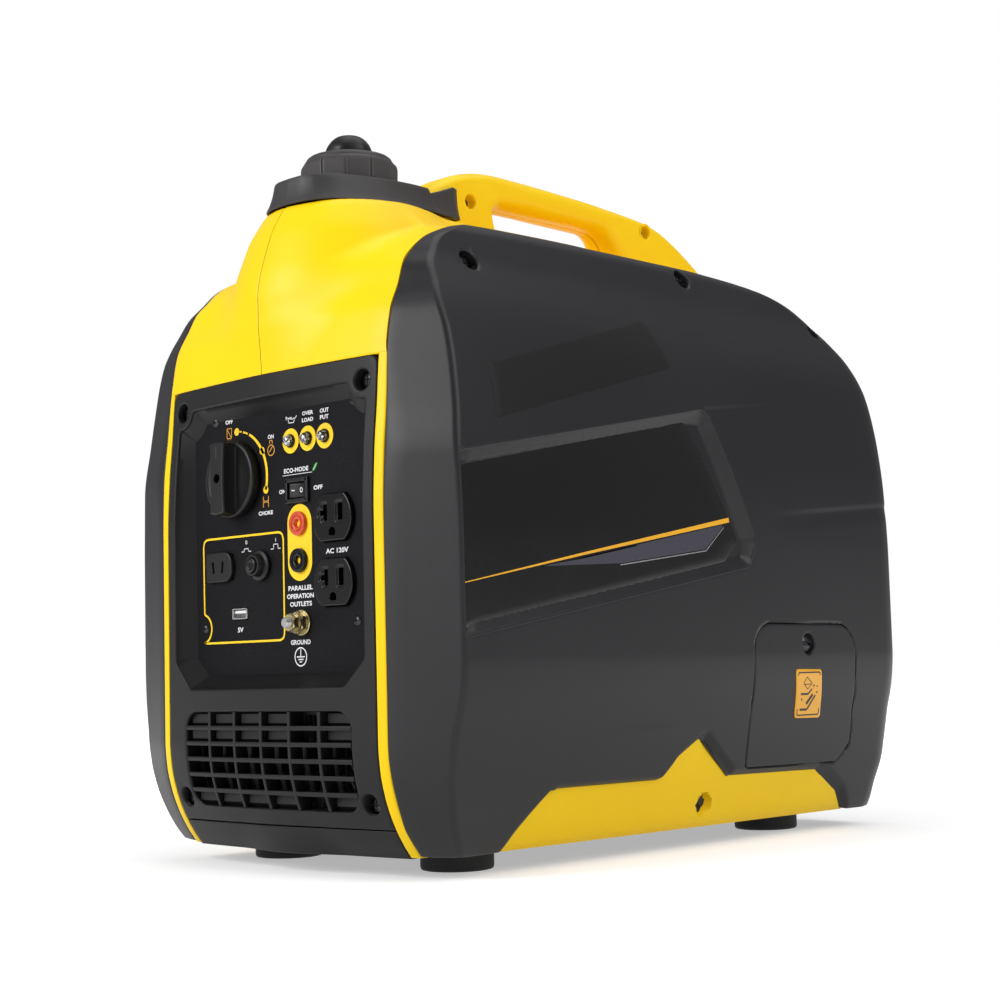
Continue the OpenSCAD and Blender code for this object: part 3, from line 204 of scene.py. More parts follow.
def roundMax(a, b, r):
    # the larger of two distances, with a fillet of radius r where both are near their edge
    return np.minimum(np.maximum(a + r, b + r), 0) + np.hypot(np.maximum(a + r, 0), np.maximum(b + r, 0)) - r


def softMax(a, b, k):
    # the larger of two, raised by h^2 k / 4 where they differ by less than k
    h = np.maximum(k - np.abs(a - b), 0) / k
    return np.maximum(a, b) + h * h * k / 4


def caseValue(p):
    # below 0 inside the case: its front, facets, sides, rear and deck, and the neck softly joined on
    c = caseForm
    x, y, z = np.abs(p[..., 0]), p[..., 1], p[..., 2]
    body = roundMax(x - sideAt(z), c["facetNormal"][0] * x + c["facetNormal"][1] * y - facetAt(z),
                    c["cornerRound"])
    body = softMax(body, (frontAt(z) + x * x / (2 * c["crownRadius"]) - y) * 0.99, 2.5)
    body = roundMax(body, y - rearAt(z), c["rearRound"])
    body = softMax(body, z - deckAt(y), c["deckRound"])
    body = np.maximum(body, c["base"] - z)
    ring = roundMax(np.hypot(x, y - c["fillerY"]) - neckAt(z), z - c["neckTop"], 4.0)
    tail = softMax(softMax((z - flankAt(x)) * 0.85, c["fillerY"] - y, 4.0),
                   (y + 80 + (z - 393) * 1.3) * 0.61, 8.0)
    tail = np.maximum(np.maximum(tail, 364 - z), x - 80)
    ring = -softMax(-ring, -tail, 10.0)
    return -softMax(-body, -ring, c["neckBlend"])


def onCase(origin, target):
    # out from origin through target, halving the stretch until it ends on the form
    origin = np.broadcast_to(np.asarray(origin, float), target.shape)
    way = target - origin
    way = way / np.linalg.norm(way, axis=-1, keepdims=True)
    low, high = np.zeros(target.shape[:-1]), np.full(target.shape[:-1], caseForm["reach"])
    for _ in range(24):
        mid = (low + high) / 2
        within = caseValue(origin + way * mid[..., None]) < 0
        low, high = np.where(within, mid, low), np.where(within, high, mid)
    return origin + way * ((low + high) / 2)[..., None]


def caseNormal(p):
    # direction in which the form's value grows, by central differences
    e = 0.4
    g = np.stack([caseValue(p + d) - caseValue(p - d) for d in np.eye(3) * e], -1)
    return g / np.maximum(np.linalg.norm(g, axis=-1, keepdims=True), 1e-9)


def onSide(y, z, side=1, depth=0.0):
    # the side of the case over (y, z), and the same sunk by a depth along its normal
    y, z = np.asarray(y, float), np.asarray(z, float)
    start = np.stack([np.zeros_like(y), y, z], -1)
    p = onCase(start, start + [100.0, 0, 0])
    p = p - caseNormal(p) * np.asarray(depth)[..., None]
    return p * [side, 1, 1]


def onFront(x, z, depth=0.0):
    # the front of the case over (x, z), sunk straight back by a depth
    x, z = np.asarray(x, float), np.asarray(z, float)
    start = np.stack([x, np.full_like(x, -100.0), z], -1)
    p = onCase(start, start - [0, 100.0, 0])
    p[..., 1] += depth
    return p


class Shape:
    # gathers grids of points into one mesh
    def __init__(self):
        self.points, self.faces, self.count = [], [], 0

    def add(self, points, quads, flip=False, hub=None, facing=None):
        # faces are turned away from a hub point or towards a facing direction, where one is given
        points = np.asarray(points, float).reshape(-1, 3)
        quads = np.asarray(quads)
        a = points[quads]
        normal = np.cross(a[:, 2] - a[:, 0], a[:, -1] - a[:, 1])
        if hub is not None or facing is not None:
            away = a.mean(1) - hub if facing is None else np.asarray(facing, float)
            flip = (normal * away).sum() < 0
        if flip:
            quads = quads[:, ::-1]
        self.points.append(points)
        self.faces.append((quads + self.count).tolist())
        self.count += len(points)

    def grid(self, p, closed=False, **turn):
        # p is rows x columns x 3; closed joins the last column to the first
        rows, cols = p.shape[:2]
        i = np.arange(rows * cols).reshape(rows, cols)
        if closed:
            i = np.concatenate([i, i[:, :1]], 1)
        quads = np.stack([i[:-1, :-1], i[:-1, 1:], i[1:, 1:], i[1:, :-1]], -1).reshape(-1, 4)
        self.add(p, quads, **turn)

    def cap(self, loop, **turn):
        # a fan from the middle of a closed loop
        loop = np.asarray(loop, float)
        n = len(loop)
        i = np.arange(n)
        tris = np.stack([i, (i + 1) % n, np.full(n, n)], -1)
        self.add(np.vstack([loop, loop.mean(0)]), tris, **turn)

    def sheet(self, loop, hub=None):
        # one flat face inside a closed loop
        loop = np.asarray(loop, float)
        face = np.arange(len(loop)) + self.count
        middle = loop.mean(0)
        normal = np.cross(loop - middle, np.roll(loop, -1, 0) - middle).sum(0)
        if hub is not None and normal @ (middle - hub) < 0:
            face = face[::-1]
        self.points.append(loop)
        self.faces.append([face.tolist()])
        self.count += len(loop)

    def made(self, name, finish, sharp=40.0, weld=0.0):
        # the mesh and its object, smooth up to the sharp angle
        mesh = bpy.data.meshes.new(name)
        co = np.concatenate(self.points) * mm
        mesh.from_pydata(co.tolist(), [], [f for block in self.faces for f in block])
        if weld:
            bm = bmesh.new()
            bm.from_mesh(mesh)
            bmesh.ops.remove_doubles(bm, verts=bm.verts, dist=weld * mm)
            bm.to_mesh(mesh)
            bm.free()
        mesh.polygons.foreach_set("use_smooth", np.ones(len(mesh.polygons), bool))
        mesh.update()
        mesh.set_sharp_from_angle(angle=math.radians(sharp))
        piece = bpy.data.objects.new(name, mesh)
        bpy.context.scene.collection.objects.link(piece)
        mesh.materials.append(finishes[finish])
        return piece


def place(plan, height, origin, across, up):
    # plan points (a, b) and heights go to origin + a across + b up + height out, out = across x up
    across, up = np.asarray(across, float), np.asarray(up, float)
    out = np.cross(across, up)
    plan = np.asarray(plan, float)
    flat = np.asarray(origin, float) + plan[..., :1] * across + plan[..., 1:2] * up
    return flat + np.asarray(height)[..., None] * out


def raised(shape, loop, profile, origin, across, up, top=True):
    # a profile of (inset, height) carried round a loop, closed on top
    loop = np.asarray(loop, float)
    out = outward(loop)
    rows = [place(loop - out * inset, np.full(len(loop), h), origin, across, up) for inset, h in profile]
    p = np.stack(rows)
    shape.grid(p, closed=True)
    if top:
        shape.sheet(rows[-1])


def quarter(r, top, n=4, start=0.0):
    # profile of an edge rounded by r under a flat top
    a = np.linspace(0, np.pi / 2, n + 1)
    return [(start + r * (1 - math.cos(t)), top - r + r * math.sin(t)) for t in a]


front = {"across": (1.0, 0, 0), "up": (0, 0, 1.0)}  # out is -Y
right = {"across": (0, 1.0, 0), "up": (0, 0, 1.0)}  # out is +X
left = {"across": (0, -1.0, 0), "up": (0, 0, 1.0)}  # out is -X
upward = {"across": (1.0, 0, 0), "up": (0, 1.0, 0)}  # out is +Z


class Wire:
    # a socket that can be calculated with: each operator adds its Math node
    def __init__(self, look, socket):
        self.look, self.socket = look, socket

    def math(self, operation, *others):
        node = self.look.tree.nodes.new("ShaderNodeMath")
        node.operation = operation
        for k, v in enumerate((self,) + others):
            if isinstance(v, Wire):
                self.look.tree.links.new(v.socket, node.inputs[k])
            else:
                node.inputs[k].default_value = v
        return Wire(self.look, node.outputs[0])

    def __add__(self, other):
        return self.math("ADD", other)

    def __mul__(self, other):
        return self.math("MULTIPLY", other)

    def __rsub__(self, other):
        return (self * -1.0).math("ADD", other)

    __radd__, __rmul__ = __add__, __mul__

    def between(self, low, high):
        # smooth mask: 0 below low and 1 above high
        return self.look.node("ShaderNodeMapRange", {"interpolation_type": "SMOOTHSTEP"}, Value=self,
                              **{"From Min": low, "From Max": high})


class Look:
    # one procedural material; node() adds any other node from its type, settings and socket values
    def __init__(self, name, roughness=0.5, metallic=0.0, coat=0.0, shine=0.5):
        self.material = bpy.data.materials.new(name)
        self.material.use_nodes = True
        self.tree = self.material.node_tree
        self.shader = next(n for n in self.tree.nodes if n.type == "BSDF_PRINCIPLED")
        fixed = {"Roughness": roughness, "Metallic": metallic, "Coat Weight": coat, "Coat Roughness": 0.12,
                 "IOR": 1.5, "Specular IOR Level": shine}
        for key, value in fixed.items():
            self.shader.inputs[key].default_value = value
        self.place = self.node("ShaderNodeTexCoord", output="Object")

    def set(self, socket, value):
        if isinstance(value, Wire):
            self.tree.links.new(value.socket, socket)
        elif socket.type == "RGBA":
            socket.default_value = tuple(value) + (1.0,)
        else:
            socket.default_value = value

    def node(self, kind, settings=None, output=0, **values):
        # a socket is given by its name, or as in0, in1 ... by its place
        n = self.tree.nodes.new(kind)
        for key, value in (settings or {}).items():
            setattr(n, key, value)
        for key, value in values.items():
            self.set(n.inputs[int(key[2:])] if key[:2] == "in" else n.inputs[key], value)
        return Wire(self, n.outputs[output])

    def noise(self, scale, detail=2.0, rough=0.5, stretch=None):
        at = self.node("ShaderNodeMapping", Vector=self.place, Scale=stretch) if stretch else self.place
        return self.node("ShaderNodeTexNoise", Vector=at, Scale=scale, Detail=detail, Roughness=rough)

    def grains(self, scale, output="Distance"):
        return self.node("ShaderNodeTexVoronoi", {"feature": "F1"}, output=output, Vector=self.place,
                         Scale=scale)

    def blend(self, factor, a, b):
        return self.node("ShaderNodeMix", {"data_type": "RGBA"}, output=2, in0=factor, in6=a, in7=b)

    def feed(self, **values):
        names = {"colour": "Base Color", "rough": "Roughness", "metal": "Metallic", "normal": "Normal"}
        for key, value in values.items():
            self.set(self.shader.inputs[names[key]], value)
        return self.material

    def bump(self, height, strength, distance=0.0002):
        return self.node("ShaderNodeBump", Height=height, Strength=strength, Distance=distance)


def rgb(r, g, b):
    # screen values 0-255 as linear light
    shares = (r / 255, g / 255, b / 255)
    return tuple(c / 12.92 if c <= 0.04045 else ((c + 0.055) / 1.055) ** 2.4 for c in shares)


def mouldedLook(name, base, light, roughness, grain, strength, coat=0.0, shine=0.5):
    # moulded plastic: spark-eroded grain, slow clouding and a little wear in the gloss
    look = Look(name, coat=coat, shine=shine)
    cloud = look.noise(9.0, 3.0)
    fine = look.noise(grain, 2.0, 0.6)
    pits = look.grains(grain * 0.8)
    return look.feed(colour=look.blend(cloud.between(0.35, 0.65) * 0.5 + fine * 0.35, base, light),
                     rough=cloud * 0.10 + fine * 0.08 + (roughness - 0.09),
                     normal=look.bump(fine * 0.6 + pits * 0.4, strength))


def paintedLook(name, colour, second, roughness=0.45, coat=0.0):
    # print ink: nearly even, with a faint mottle and dry edges in the gloss
    look = Look(name, coat=coat)
    mottle = look.noise(700.0, 3.0, 0.6)
    return look.feed(colour=look.blend(mottle.between(0.3, 0.75) * 0.6, colour, second),
                     rough=mottle * 0.2 + (roughness - 0.1), normal=look.bump(mottle, 0.12, 0.00005))


def metalLook(name, base, dark, roughness, stretch=(1, 1, 1), scale=600.0, spots=0.25):
    # plated or cast metal: drawn scratches, stains and a spread of gloss
    look = Look(name, metallic=1.0)
    lines = look.noise(scale, 3.0, 0.6, stretch)
    stain = look.noise(60.0, 4.0, 0.65)
    return look.feed(colour=look.blend(stain.between(0.45, 0.75) * spots + lines * 0.3, base, dark),
                     rough=lines * 0.22 + stain * 0.14 + (roughness - 0.15),
                     normal=look.bump(lines, 0.25, 0.0001))


def speckledLook(name):
    # textured film on the control plate: dense fine light specks on near-black
    look = Look(name, shine=0.1)
    specks = look.grains(1500.0)
    fine = look.noise(2600.0, 1.0, 0.5)
    cloud = look.noise(14.0, 3.0)
    dot = (1.0 - specks.between(0.10, 0.34)) * fine.between(0.45, 0.7)
    return look.feed(colour=look.blend(dot * 0.55 + cloud * 0.06, rgb(6, 5, 7), rgb(84, 80, 90)),
                     rough=0.58 - dot * 0.15 + cloud * 0.06, normal=look.bump(specks, 0.25, 0.0001))


def glassLook(name, tint, roughness):
    # clear moulded lens: a dark base for the bulb under it, with painted glints, bright random cells that
    # stand in for light caught in its facets
    look = Look(name, coat=1.0)
    # the grey mask picks the random cells that get the painted glints
    grey = look.node("ShaderNodeSeparateXYZ", output=0, Vector=look.grains(900.0, "Color"))
    return look.feed(colour=look.blend(grey.between(0.5, 0.95), rgb(34, 32, 34), tint),
                     rough=roughness + grey * 0.1, metal=grey.between(0.5, 0.9) * 0.4,
                     normal=look.bump(grey, 0.7, 0.0006))


# each finish: its kind of look, its two colours, then what that look's function takes in turn
looks = {
    "yellowShell": (mouldedLook, (255, 214, 4), (252, 205, 2), 0.40, 1700.0, 0.05, 0.0, 0.22),
    "charcoalCover": (mouldedLook, (20, 19, 22), (25, 24, 27), 0.42, 1500.0, 0.28, 0.0, 0.36),
    "charcoalBezel": (mouldedLook, (19, 18, 20), (24, 23, 25), 0.48, 1700.0, 0.22, 0.0, 0.26),
    "darkTray": (mouldedLook, (46, 44, 45), (55, 53, 54), 0.50, 1500.0, 0.25, 0.0, 0.4),
    "knobBlack": (mouldedLook, (14, 14, 15), (19, 19, 20), 0.42, 1800.0, 0.14, 0.0, 0.3),
    "socketBlack": (mouldedLook, (6, 6, 7), (9, 9, 10), 0.28, 1500.0, 0.04, 0.0, 0.3),
    "darkInside": (mouldedLook, (24, 23, 24), (34, 33, 34), 0.62, 1200.0, 0.2),
    "footRubber": (mouldedLook, (18, 18, 20), (30, 30, 32), 0.62, 900.0, 0.3),
    "redJack": (mouldedLook, (218, 84, 40), (200, 68, 30), 0.35, 1500.0, 0.05, 0.2),
    "panPlastic": (mouldedLook, (30, 30, 32), (42, 42, 44), 0.62, 900.0, 0.3),
    "glossLabel": (mouldedLook, (8, 7, 8), (13, 12, 12), 0.22, 300.0, 0.01, 0.0, 0.45),
    "charcoalCap": (mouldedLook, (52, 49, 51), (63, 59, 61), 0.50, 1500.0, 0.3, 0.0, 0.4),
    "sticker": (mouldedLook, (13, 11, 12), (17, 14, 15), 0.45, 1200.0, 0.03, 0.0, 0.3),
    "yellowInk": (paintedLook, (255, 214, 10), (250, 200, 5)),
    "orangeInk": (paintedLook, (250, 184, 30), (236, 164, 18)),
    "goldInk": (paintedLook, (224, 160, 48), (204, 142, 36)),
    "whiteInk": (paintedLook, (232, 232, 234), (214, 214, 218)),
    "greenInk": (paintedLook, (46, 170, 60), (32, 140, 46)),
    # grey print on the label wedge, and also the painted highlight of the knob's engraved pointer groove
    "greyInk": (paintedLook, (64, 62, 74), (46, 44, 54), 0.3, 0.3),
    "blackInk": (paintedLook, (20, 18, 14), (34, 30, 22)),
    "platePictogram": (paintedLook, (246, 178, 22), (236, 160, 14), 0.35, 0.2),
    "screwBlack": (metalLook, (70, 70, 72), (30, 30, 32), 0.34),
    "platedSteel": (metalLook, (206, 206, 204), (140, 138, 134), 0.26),
    "brassNuts": (metalLook, (206, 194, 150), (150, 132, 84), 0.26),
    "castAlloy": (metalLook, (168, 170, 172), (120, 122, 124), 0.5, (1, 1, 1), 900.0),
    "exhaustSteel": (metalLook, (128, 122, 114), (74, 62, 52), 0.46, (1, 1, 1), 300.0, 0.6),
    "windingCopper": (metalLook, (196, 118, 62), (140, 76, 36), 0.38, (1, 1, 14), 500.0),
    "plugCeramic": (mouldedLook, (232, 230, 222), (218, 215, 205), 0.22, 500.0, 0.02, 0.4),
    "ropeCord": (mouldedLook, (206, 203, 196), (150, 148, 142), 0.8, 900.0, 0.6),
}
finishes = {name: make(name, rgb(*base), rgb(*second), *rest)
            for name, (make, base, second, *rest) in looks.items()}
finishes["speckledPanel"] = speckledLook("speckledPanel")
# the lens's near-white colour is the colour of its painted glints
finishes["lampLens"] = glassLook("lampLens", rgb(226, 228, 234), 0.06)
print("materials made:", len(finishes))


# side covers: outlines are (along y, up z, corner radius)
sideCover = {
    "step": 1.6,
    "facetWide": 47.6,
    "rearWide": 14.5,
    "rise": 352.0,
    "wall": 3.2,
    "edgeRound": 1.0,
    "labelOutline": [[-205.2, 131.5, 1.5], [50, 175, 8], [56, 192, 8], [20, 268, 7], [14, 272, 6],
                     [-205.2, 231, 1.5]],
    "labelDepth": 4.6,
    "hatchOutline": [[52.0, 46.9, 3], [151.8, 45.6, 4.5], [168.2, 57.8, 6.5], [163.6, 138.2, 19.6],
                     [50.0, 139.0, 18.6]],
    "stripLine": [(-240, 12), (-166, 12.6), (-121, 44.5), (-27, 44), (-12.5, 56), (9, 68), (40.5, 42.5),
                  (135.5, 41), (163, 25), (170.5, 12.6), (240, 12)],
    "chamferWide": 5.0,
    "chamferDeep": 3.1,
    "hatchDeep": 4.2,
    "screws": [(-159, 348), (47, 366), (184, 345)],
    "screwHole": (6.6, 7.0),
    "screwSink": 8.0,
    "dish": (105.0, 205.0, 34.0, 15.0),
}
edgeXAt = smoothCurve([12, 240, 263, 290, 315, 330, 348, 361, 374],
                      [101.8, 101.8, 101.5, 101, 100.2, 98.6, 96.2, 93.6, 90.8])
edgeYAt = smoothCurve([12, 30, 75, 200, 263, 290, 315, 330, 348, 361, 374],
                      [-200, -213, -223.5, -223.5, -219.2, -217.6, -213, -205.5, -197, -181, -154])
stripAt = np.array(sideCover["stripLine"])


screwAxes = []
for sy, sz in sideCover["screws"]:  # each screw stands between the surface's normal and the side
    c = onSide([sy], [sz])[0]
    a = caseNormal(c[None])[0] * 0.55 + np.array([0.45, 0, 0])
    screwAxes.append((c, a / np.linalg.norm(a)))


def coverGuess(part, share, z):
    # the cover's plan at height z: front edge, facet to the corner line, side, rear corner, rear edge
    x0, y0 = edgeXAt(z), edgeYAt(z)
    x1 = sideAt(z)
    y1 = (caseForm["facetNormal"][0] * x1 - facetAt(z)) / -caseForm["facetNormal"][1]
    turn = np.clip((x1 - x0 - 0.5) / 30, 0.05, 1) * 30
    y2 = rearAt(z)
    a = share * np.pi / 2
    xs = [x0 + (x1 - x0) * share, x1, x1 - turn + turn * np.cos(a), x1 - turn + (x0 - x1 + turn) * share]
    ys = [y0 + (y1 - y0) * share, y1 + (y2 - turn - y1) * share, y2 - turn + turn * np.sin(a), y2]
    pick = [part == k for k in range(4)]
    return np.select(pick, np.broadcast_arrays(*xs)), np.select(pick, np.broadcast_arrays(*ys))


def roundedEdge(d, r):
    # sink of a surface near its rounded border: r - sqrt(r^2 - (r - d)^2)
    t = np.clip(r - d, 0, r)
    return r - np.sqrt(r * r - t * t)


def spine(g):
    # where the rays to the cover's points start, on the middle plane
    return np.stack([g[..., 0] * 0, np.clip(g[..., 1] * 0.62, -128, 130), np.clip(g[..., 2], 60, 255)], -1)


def coverGrid():
    # columns run from the front edge round to the rear edge, rows from the strip line up to the deck
    s = sideCover
    wide, rear, rise = s["facetWide"], s["rearWide"], s["rise"]
    cols = [(0, edged(0, wide, 2.2)[:-1] / wide), (1, spread(0, 8, 0.022, int(388 / s["step"]), 1.0)[:-1]),
            (2, np.linspace(0, 1, 17)[:-1]), (3, edged(0, rear, 1.8)[1:] / rear)]
    cols[0] = (0, np.concatenate([cols[0][1][cols[0][1] < 0.86], np.linspace(0.87, 0.985, 8)]))
    part = np.concatenate([np.full(len(v), k) for k, v in cols])
    share = np.concatenate([v for _, v in cols])
    fromFront = np.where(part == 0, share * wide, 99.0)
    fromRear = np.where(part == 3, (1 - share) * rear, 99.0)
    # nominal place of each column's foot and head
    mid = coverGuess(part, share, np.full(len(part), 20.0))[1]
    foot = np.interp(mid, stripAt[:, 0], stripAt[:, 1])
    headY = np.select([part == 0, part == 1, part == 2, part == 3],
                      [-154 + 2 * share, -152 + 316 * share, 164 + 5 * share, 169 + 2 * share])
    head = np.where(part == 0, 373.4, deckAt(headY) - 0.4)
    up = edged(0, rise, s["step"])
    rows = []
    for lift in up[:-2]:
        z = foot + (head - 4 - foot) * lift / rise
        x, y = coverGuess(part, share, z)
        rows.append(np.stack([x, y, z], -1))
    low = rows[-1]
    headPoint = np.stack([np.full(len(part), 91.0) + np.where(part == 3, 0.6 * share, 0), headY, head], -1)
    over = np.concatenate([np.linspace(0, 1, 7)[1:-1] * 0.9, [0.955, 0.987, 1.0]])
    rows += [low + (headPoint - low) * t for t in over]
    guess = np.stack(rows)
    fromFoot = np.concatenate([up[:-2], np.full(len(over), 99.0)])
    fromHead = np.concatenate([np.full(len(up) - 2, 99.0), (1 - over) * 9.0])
    p = onCase(spine(guess), guess)
    edge = np.minimum(np.minimum(fromFoot, fromHead)[:, None], np.minimum(fromFront, fromRear)[None, :])
    sink = roundedEdge(edge, s["edgeRound"])
    return p, caseNormal(p), sink


def coverSink(y, z, side):
    # carving of the side over (y, z): label recess, chamfer over the base strip, hatch pocket, soft creases
    s = sideCover
    d = depthInside(y, z, filleted(s["labelOutline"], 5))
    wide = 2.0 + 3.4 * ease((y + 203) / 8) + 4.0 * ease((y + 6) / 30) * ease((z - 178) / 20)
    t = np.clip(d / wide, 0, 1)
    sink = s["labelDepth"] * (0.12 * ease((d + 0.8) / 2.2) + 0.76 * t + 0.12 * ease((t - 0.9) / 0.1))
    d = toSegments(y, z, stripAt[1:-1], closed=False)
    wide = s["chamferWide"] * (0.55 + 0.45 * ease((y + 26) / 10)) + 3.0 * ease((y - 130) / 20)
    slope = np.clip(1 - d / wide, 0, 1) * np.clip((y + 160) / 30, 0, 1)
    sink = np.maximum(sink, s["chamferDeep"] * (0.8 * slope + 0.2 * ease(slope)))
    line = z - 272 - (y - 14) * 0.125
    near = np.where(line < 0, ease(1 + line / 16), ease(1 - line / 1.8))
    sink = sink + 0.8 * ease((y - 8) / 12) * ease((150 - y) / 110) * near
    line = z - 214 - (y - 150) * 0.09
    sink = sink + 0.5 * ease((y - 60) / 80) * np.where(line < 0, ease(1 + line / 12), ease(1 - line / 2.5))
    sink = sink - 0.7 * np.exp(-((y + 38) / 34) ** 2 - ((z - 75) / 3.2) ** 2)
    if side > 0:
        inner = depthInside(y, z, filleted(s["hatchOutline"], 8))
        sink = sink + s["hatchDeep"] * ease((inner - 0.1) / 1.7)
    else:
        dy, dz, dr, deep = s["dish"]
        sink = sink + (deep + 2) * (1 - ease((np.hypot(y - dy, z - dz) - dr + 0.5) / 3.0))
    return sink


def axisHole(shape, centre, axis, r, deep, side, n=56):
    # rounded rim laid on the case round an axis, and a straight wall down to the seat
    a = np.arange(n) * 2 * np.pi / n
    u = np.cross([0, 0, 1.0], axis)
    u = u / np.linalg.norm(u)
    v = np.cross(axis, u)
    ring = np.cos(a)[:, None] * u + np.sin(a)[:, None] * v
    rows = []
    for k, d in ((r + 2.6, 0.03), (r + 1.7, -0.05), (r + 0.9, 0.12), (r + 0.3, 0.55), (r, 1.3)):
        start = centre + ring * k - axis * 25
        rows.append(onCase(start, start + axis) - axis * d)
    flat = centre + ring * (r - 0.4) - axis * deep
    g = np.stack(rows + [flat]) * [side, 1, 1]
    shape.grid(g, closed=True, facing=axis * [side, 1, 1])
    shape.cap(g[-1], facing=axis * [side, 1, 1])


def bandOnSide(shape, loop, rows, side):
    # a closed band on the side of the case: rows of (inset from the loop, depth)
    out = outward(loop)
    grid = [onSide(*(loop - out * inset).T, side=side, depth=np.full(len(loop), depth))
            for inset, depth in rows]
    shape.grid(np.stack(grid), flip=side < 0, closed=True)


def dishRing(shape, side, n=120):
    # rolled rim and wall of the round starter dish
    dy, dz, dr, deep = sideCover["dish"]
    ring = circle(1.0, n)
    rim = [(4.2, 0.1), (3.6, -0.15), (1.4, -0.15), (0.6, 0.1), (0.1, 0.8), (0, 2.0)]
    wall = [(-1.2, deep + 1.0), (-2.2, deep + 2.4)]
    rows = [onSide(dy + ring[:, 0] * (dr + k), dz + ring[:, 1] * (dr + k), side=side, depth=np.full(n, d))
            for k, d in rim + wall]
    shape.grid(np.stack(rows), closed=True, facing=(side, 0, 0))


def sideCoverPiece(side):
    # the form sunk along its normals by the carving, with a wall folded in round the border
    s = sideCover
    p, n, edge = coverGrid()
    y, z = p[..., 1], p[..., 2]
    facing = ease((n[..., 0] - 0.45) / 0.25)
    sink = edge + coverSink(y, z, side) * facing * ease((y + 206.5) / 1.5)
    top = p - n * sink[..., None]
    for centre, axis in screwAxes:
        away = p - centre
        near = np.linalg.norm(away, axis=-1) < 22
        r = np.linalg.norm(away - (away @ axis)[..., None] * axis, axis=-1)
        hole = s["screwSink"] * (1 - ease((r - 6.0) / 1.3)) * near
        top = top - axis * hole[..., None]
        sink = sink + hole
    under = p - n * (sink + s["wall"])[..., None]
    full = np.concatenate([under[:1], top, under[-1:]])
    first = np.concatenate([under[:1, :1], under[:, :1], under[-1:, :1]])
    last = np.concatenate([under[:1, -1:], under[:, -1:], under[-1:, -1:]])
    full = np.concatenate([first, full, last], 1) * [side, 1, 1]
    shape = Shape()
    shape.grid(full, hub=np.array([0, 0, 200.0]))
    for centre, axis in screwAxes:
        axisHole(shape, centre, axis, *s["screwHole"], side)
    if side < 0:
        dishRing(shape, side)
    rim = evenly(filleted(s["labelOutline"], 5), 1.5)
    rim[:, 0] = np.maximum(rim[:, 0], -205.6)  # held on the side, off the facet
    bandOnSide(shape, rim, [(-1.7, 0.08), (-1.0, -0.1), (-0.3, -0.04), (0.3, 0.35), (0.9, 1.3)], side)
    shape.made("sideCoverRight" if side > 0 else "sideCoverLeft", "charcoalCover", sharp=50)


def screwHole(shape, y, z, seat, r, n=48):
    # rounded rim on the side and a straight wall down to the screw's seat
    rows = [(r + 2.6, 0.04), (r + 1.7, -0.05), (r + 0.9, 0.1), (r + 0.35, 0.5), (r, 1.3)]
    ring = circle(1.0, n)
    grid = [onSide(y + ring[:, 0] * k, z + ring[:, 1] * k, depth=np.full(n, d)) for k, d in rows]
    floor = grid[-1].copy()
    floor[:, 0] = seat
    shape.grid(np.stack(grid + [floor]), closed=True)
    shape.cap(floor)


for side in (1, -1):
    sideCoverPiece(side)
print("side covers made")


# yellow shells: hood round the filler, deck, trim beside the bezel, base strip, and the handle
yellowShell = {
    "trimInner": 94.7,
    "trimOuter": 101.4,
    "bezelTop": 289.9,
    "seam": 0.18,
    "deckHalf": 90.5,
    "deckTop": 377.0,
    "hoodEnd": -60.0,
    "coverGap": 0.35,
    "lipDeep": 4.0,
    "tray": [(0, -206.2), (12, -205), (21, -201), (29, -192), (34.5, -178), (37.5, -160), (38.6, -142),
             (37.2, -120), (31, -100), (25, -88), (22, -82), (12, -81), (0, -81)],
}


def hoodGrid():
    # rays from a point under the filler, turned evenly from the tray's foot to the hood's border
    s = yellowShell
    tray = evenly(filleted([(x, y, 6) for x, y in s["tray"]], 3)[4:-4], 1.0, closed=False)
    tray[0], tray[-1] = (0, -206.2), (0, -81)
    trimCols = np.linspace(s["trimInner"], s["trimOuter"], 7)
    x = np.concatenate([[s["seam"], 0.5, 1.2], np.linspace(2.5, s["trimInner"], 62), trimCols[1:]])
    crown = x * x / (2 * caseForm["crownRadius"])
    low = np.stack([x, frontAt(np.full(len(x), s["bezelTop"])) + crown, np.full(len(x), s["bezelTop"])], -1)
    z = spread(292, 34, 361, 10, 374)
    curve = np.stack([edgeXAt(z) - s["coverGap"], edgeYAt(z), z], -1)
    y = np.linspace(-152, s["hoodEnd"], 40)
    along = np.stack([np.full(len(y), s["deckHalf"]), y, deckAt(y) - 0.3], -1)
    back = np.concatenate([np.linspace(s["deckHalf"], 2.5, 46)[1:], [1.2, 0.5, s["seam"]]])
    cross = np.stack([back, np.full(len(back), s["hoodEnd"]), np.full(len(back), s["deckTop"])], -1)
    border = np.concatenate([low, curve, along, cross])
    # each border point is joined to a tray point at the same share of a given pairing
    d = np.concatenate([[0], np.cumsum(np.hypot(*np.diff(tray, axis=0).T))])
    knots = np.cumsum([0, len(low), len(curve), len(along), len(cross)]) - [0, 1, 1, 1, 1]
    marks = [0, 0.30 * d[-1], 0.52 * d[-1], 0.86 * d[-1], d[-1]]
    s1 = np.interp(np.arange(len(border)), knots, marks)
    inner = np.stack([np.maximum(np.interp(s1, d, tray[:, 0]), s["seam"]), np.interp(s1, d, tray[:, 1]),
                      np.full(len(border), caseForm["neckTop"])], -1)
    hub = np.array([0, -150.0, 300.0])
    a = (inner - hub) / np.linalg.norm(inner - hub, axis=1)[:, None]
    b = (border - hub) / np.linalg.norm(border - hub, axis=1)[:, None]
    t = spread(0, 46, 0.97, 4, 1.0)[:, None, None]
    way = a * (1 - t) + b * t
    p = onCase(hub, hub + way * 100)
    p[:, 0, 0] = p[:, -1, 0] = s["seam"]
    return p


def seamSink(x):
    # the halves round over by half a millimetre at the middle seam
    return roundedEdge(np.abs(x) - 0.1, 0.9) * 0.55


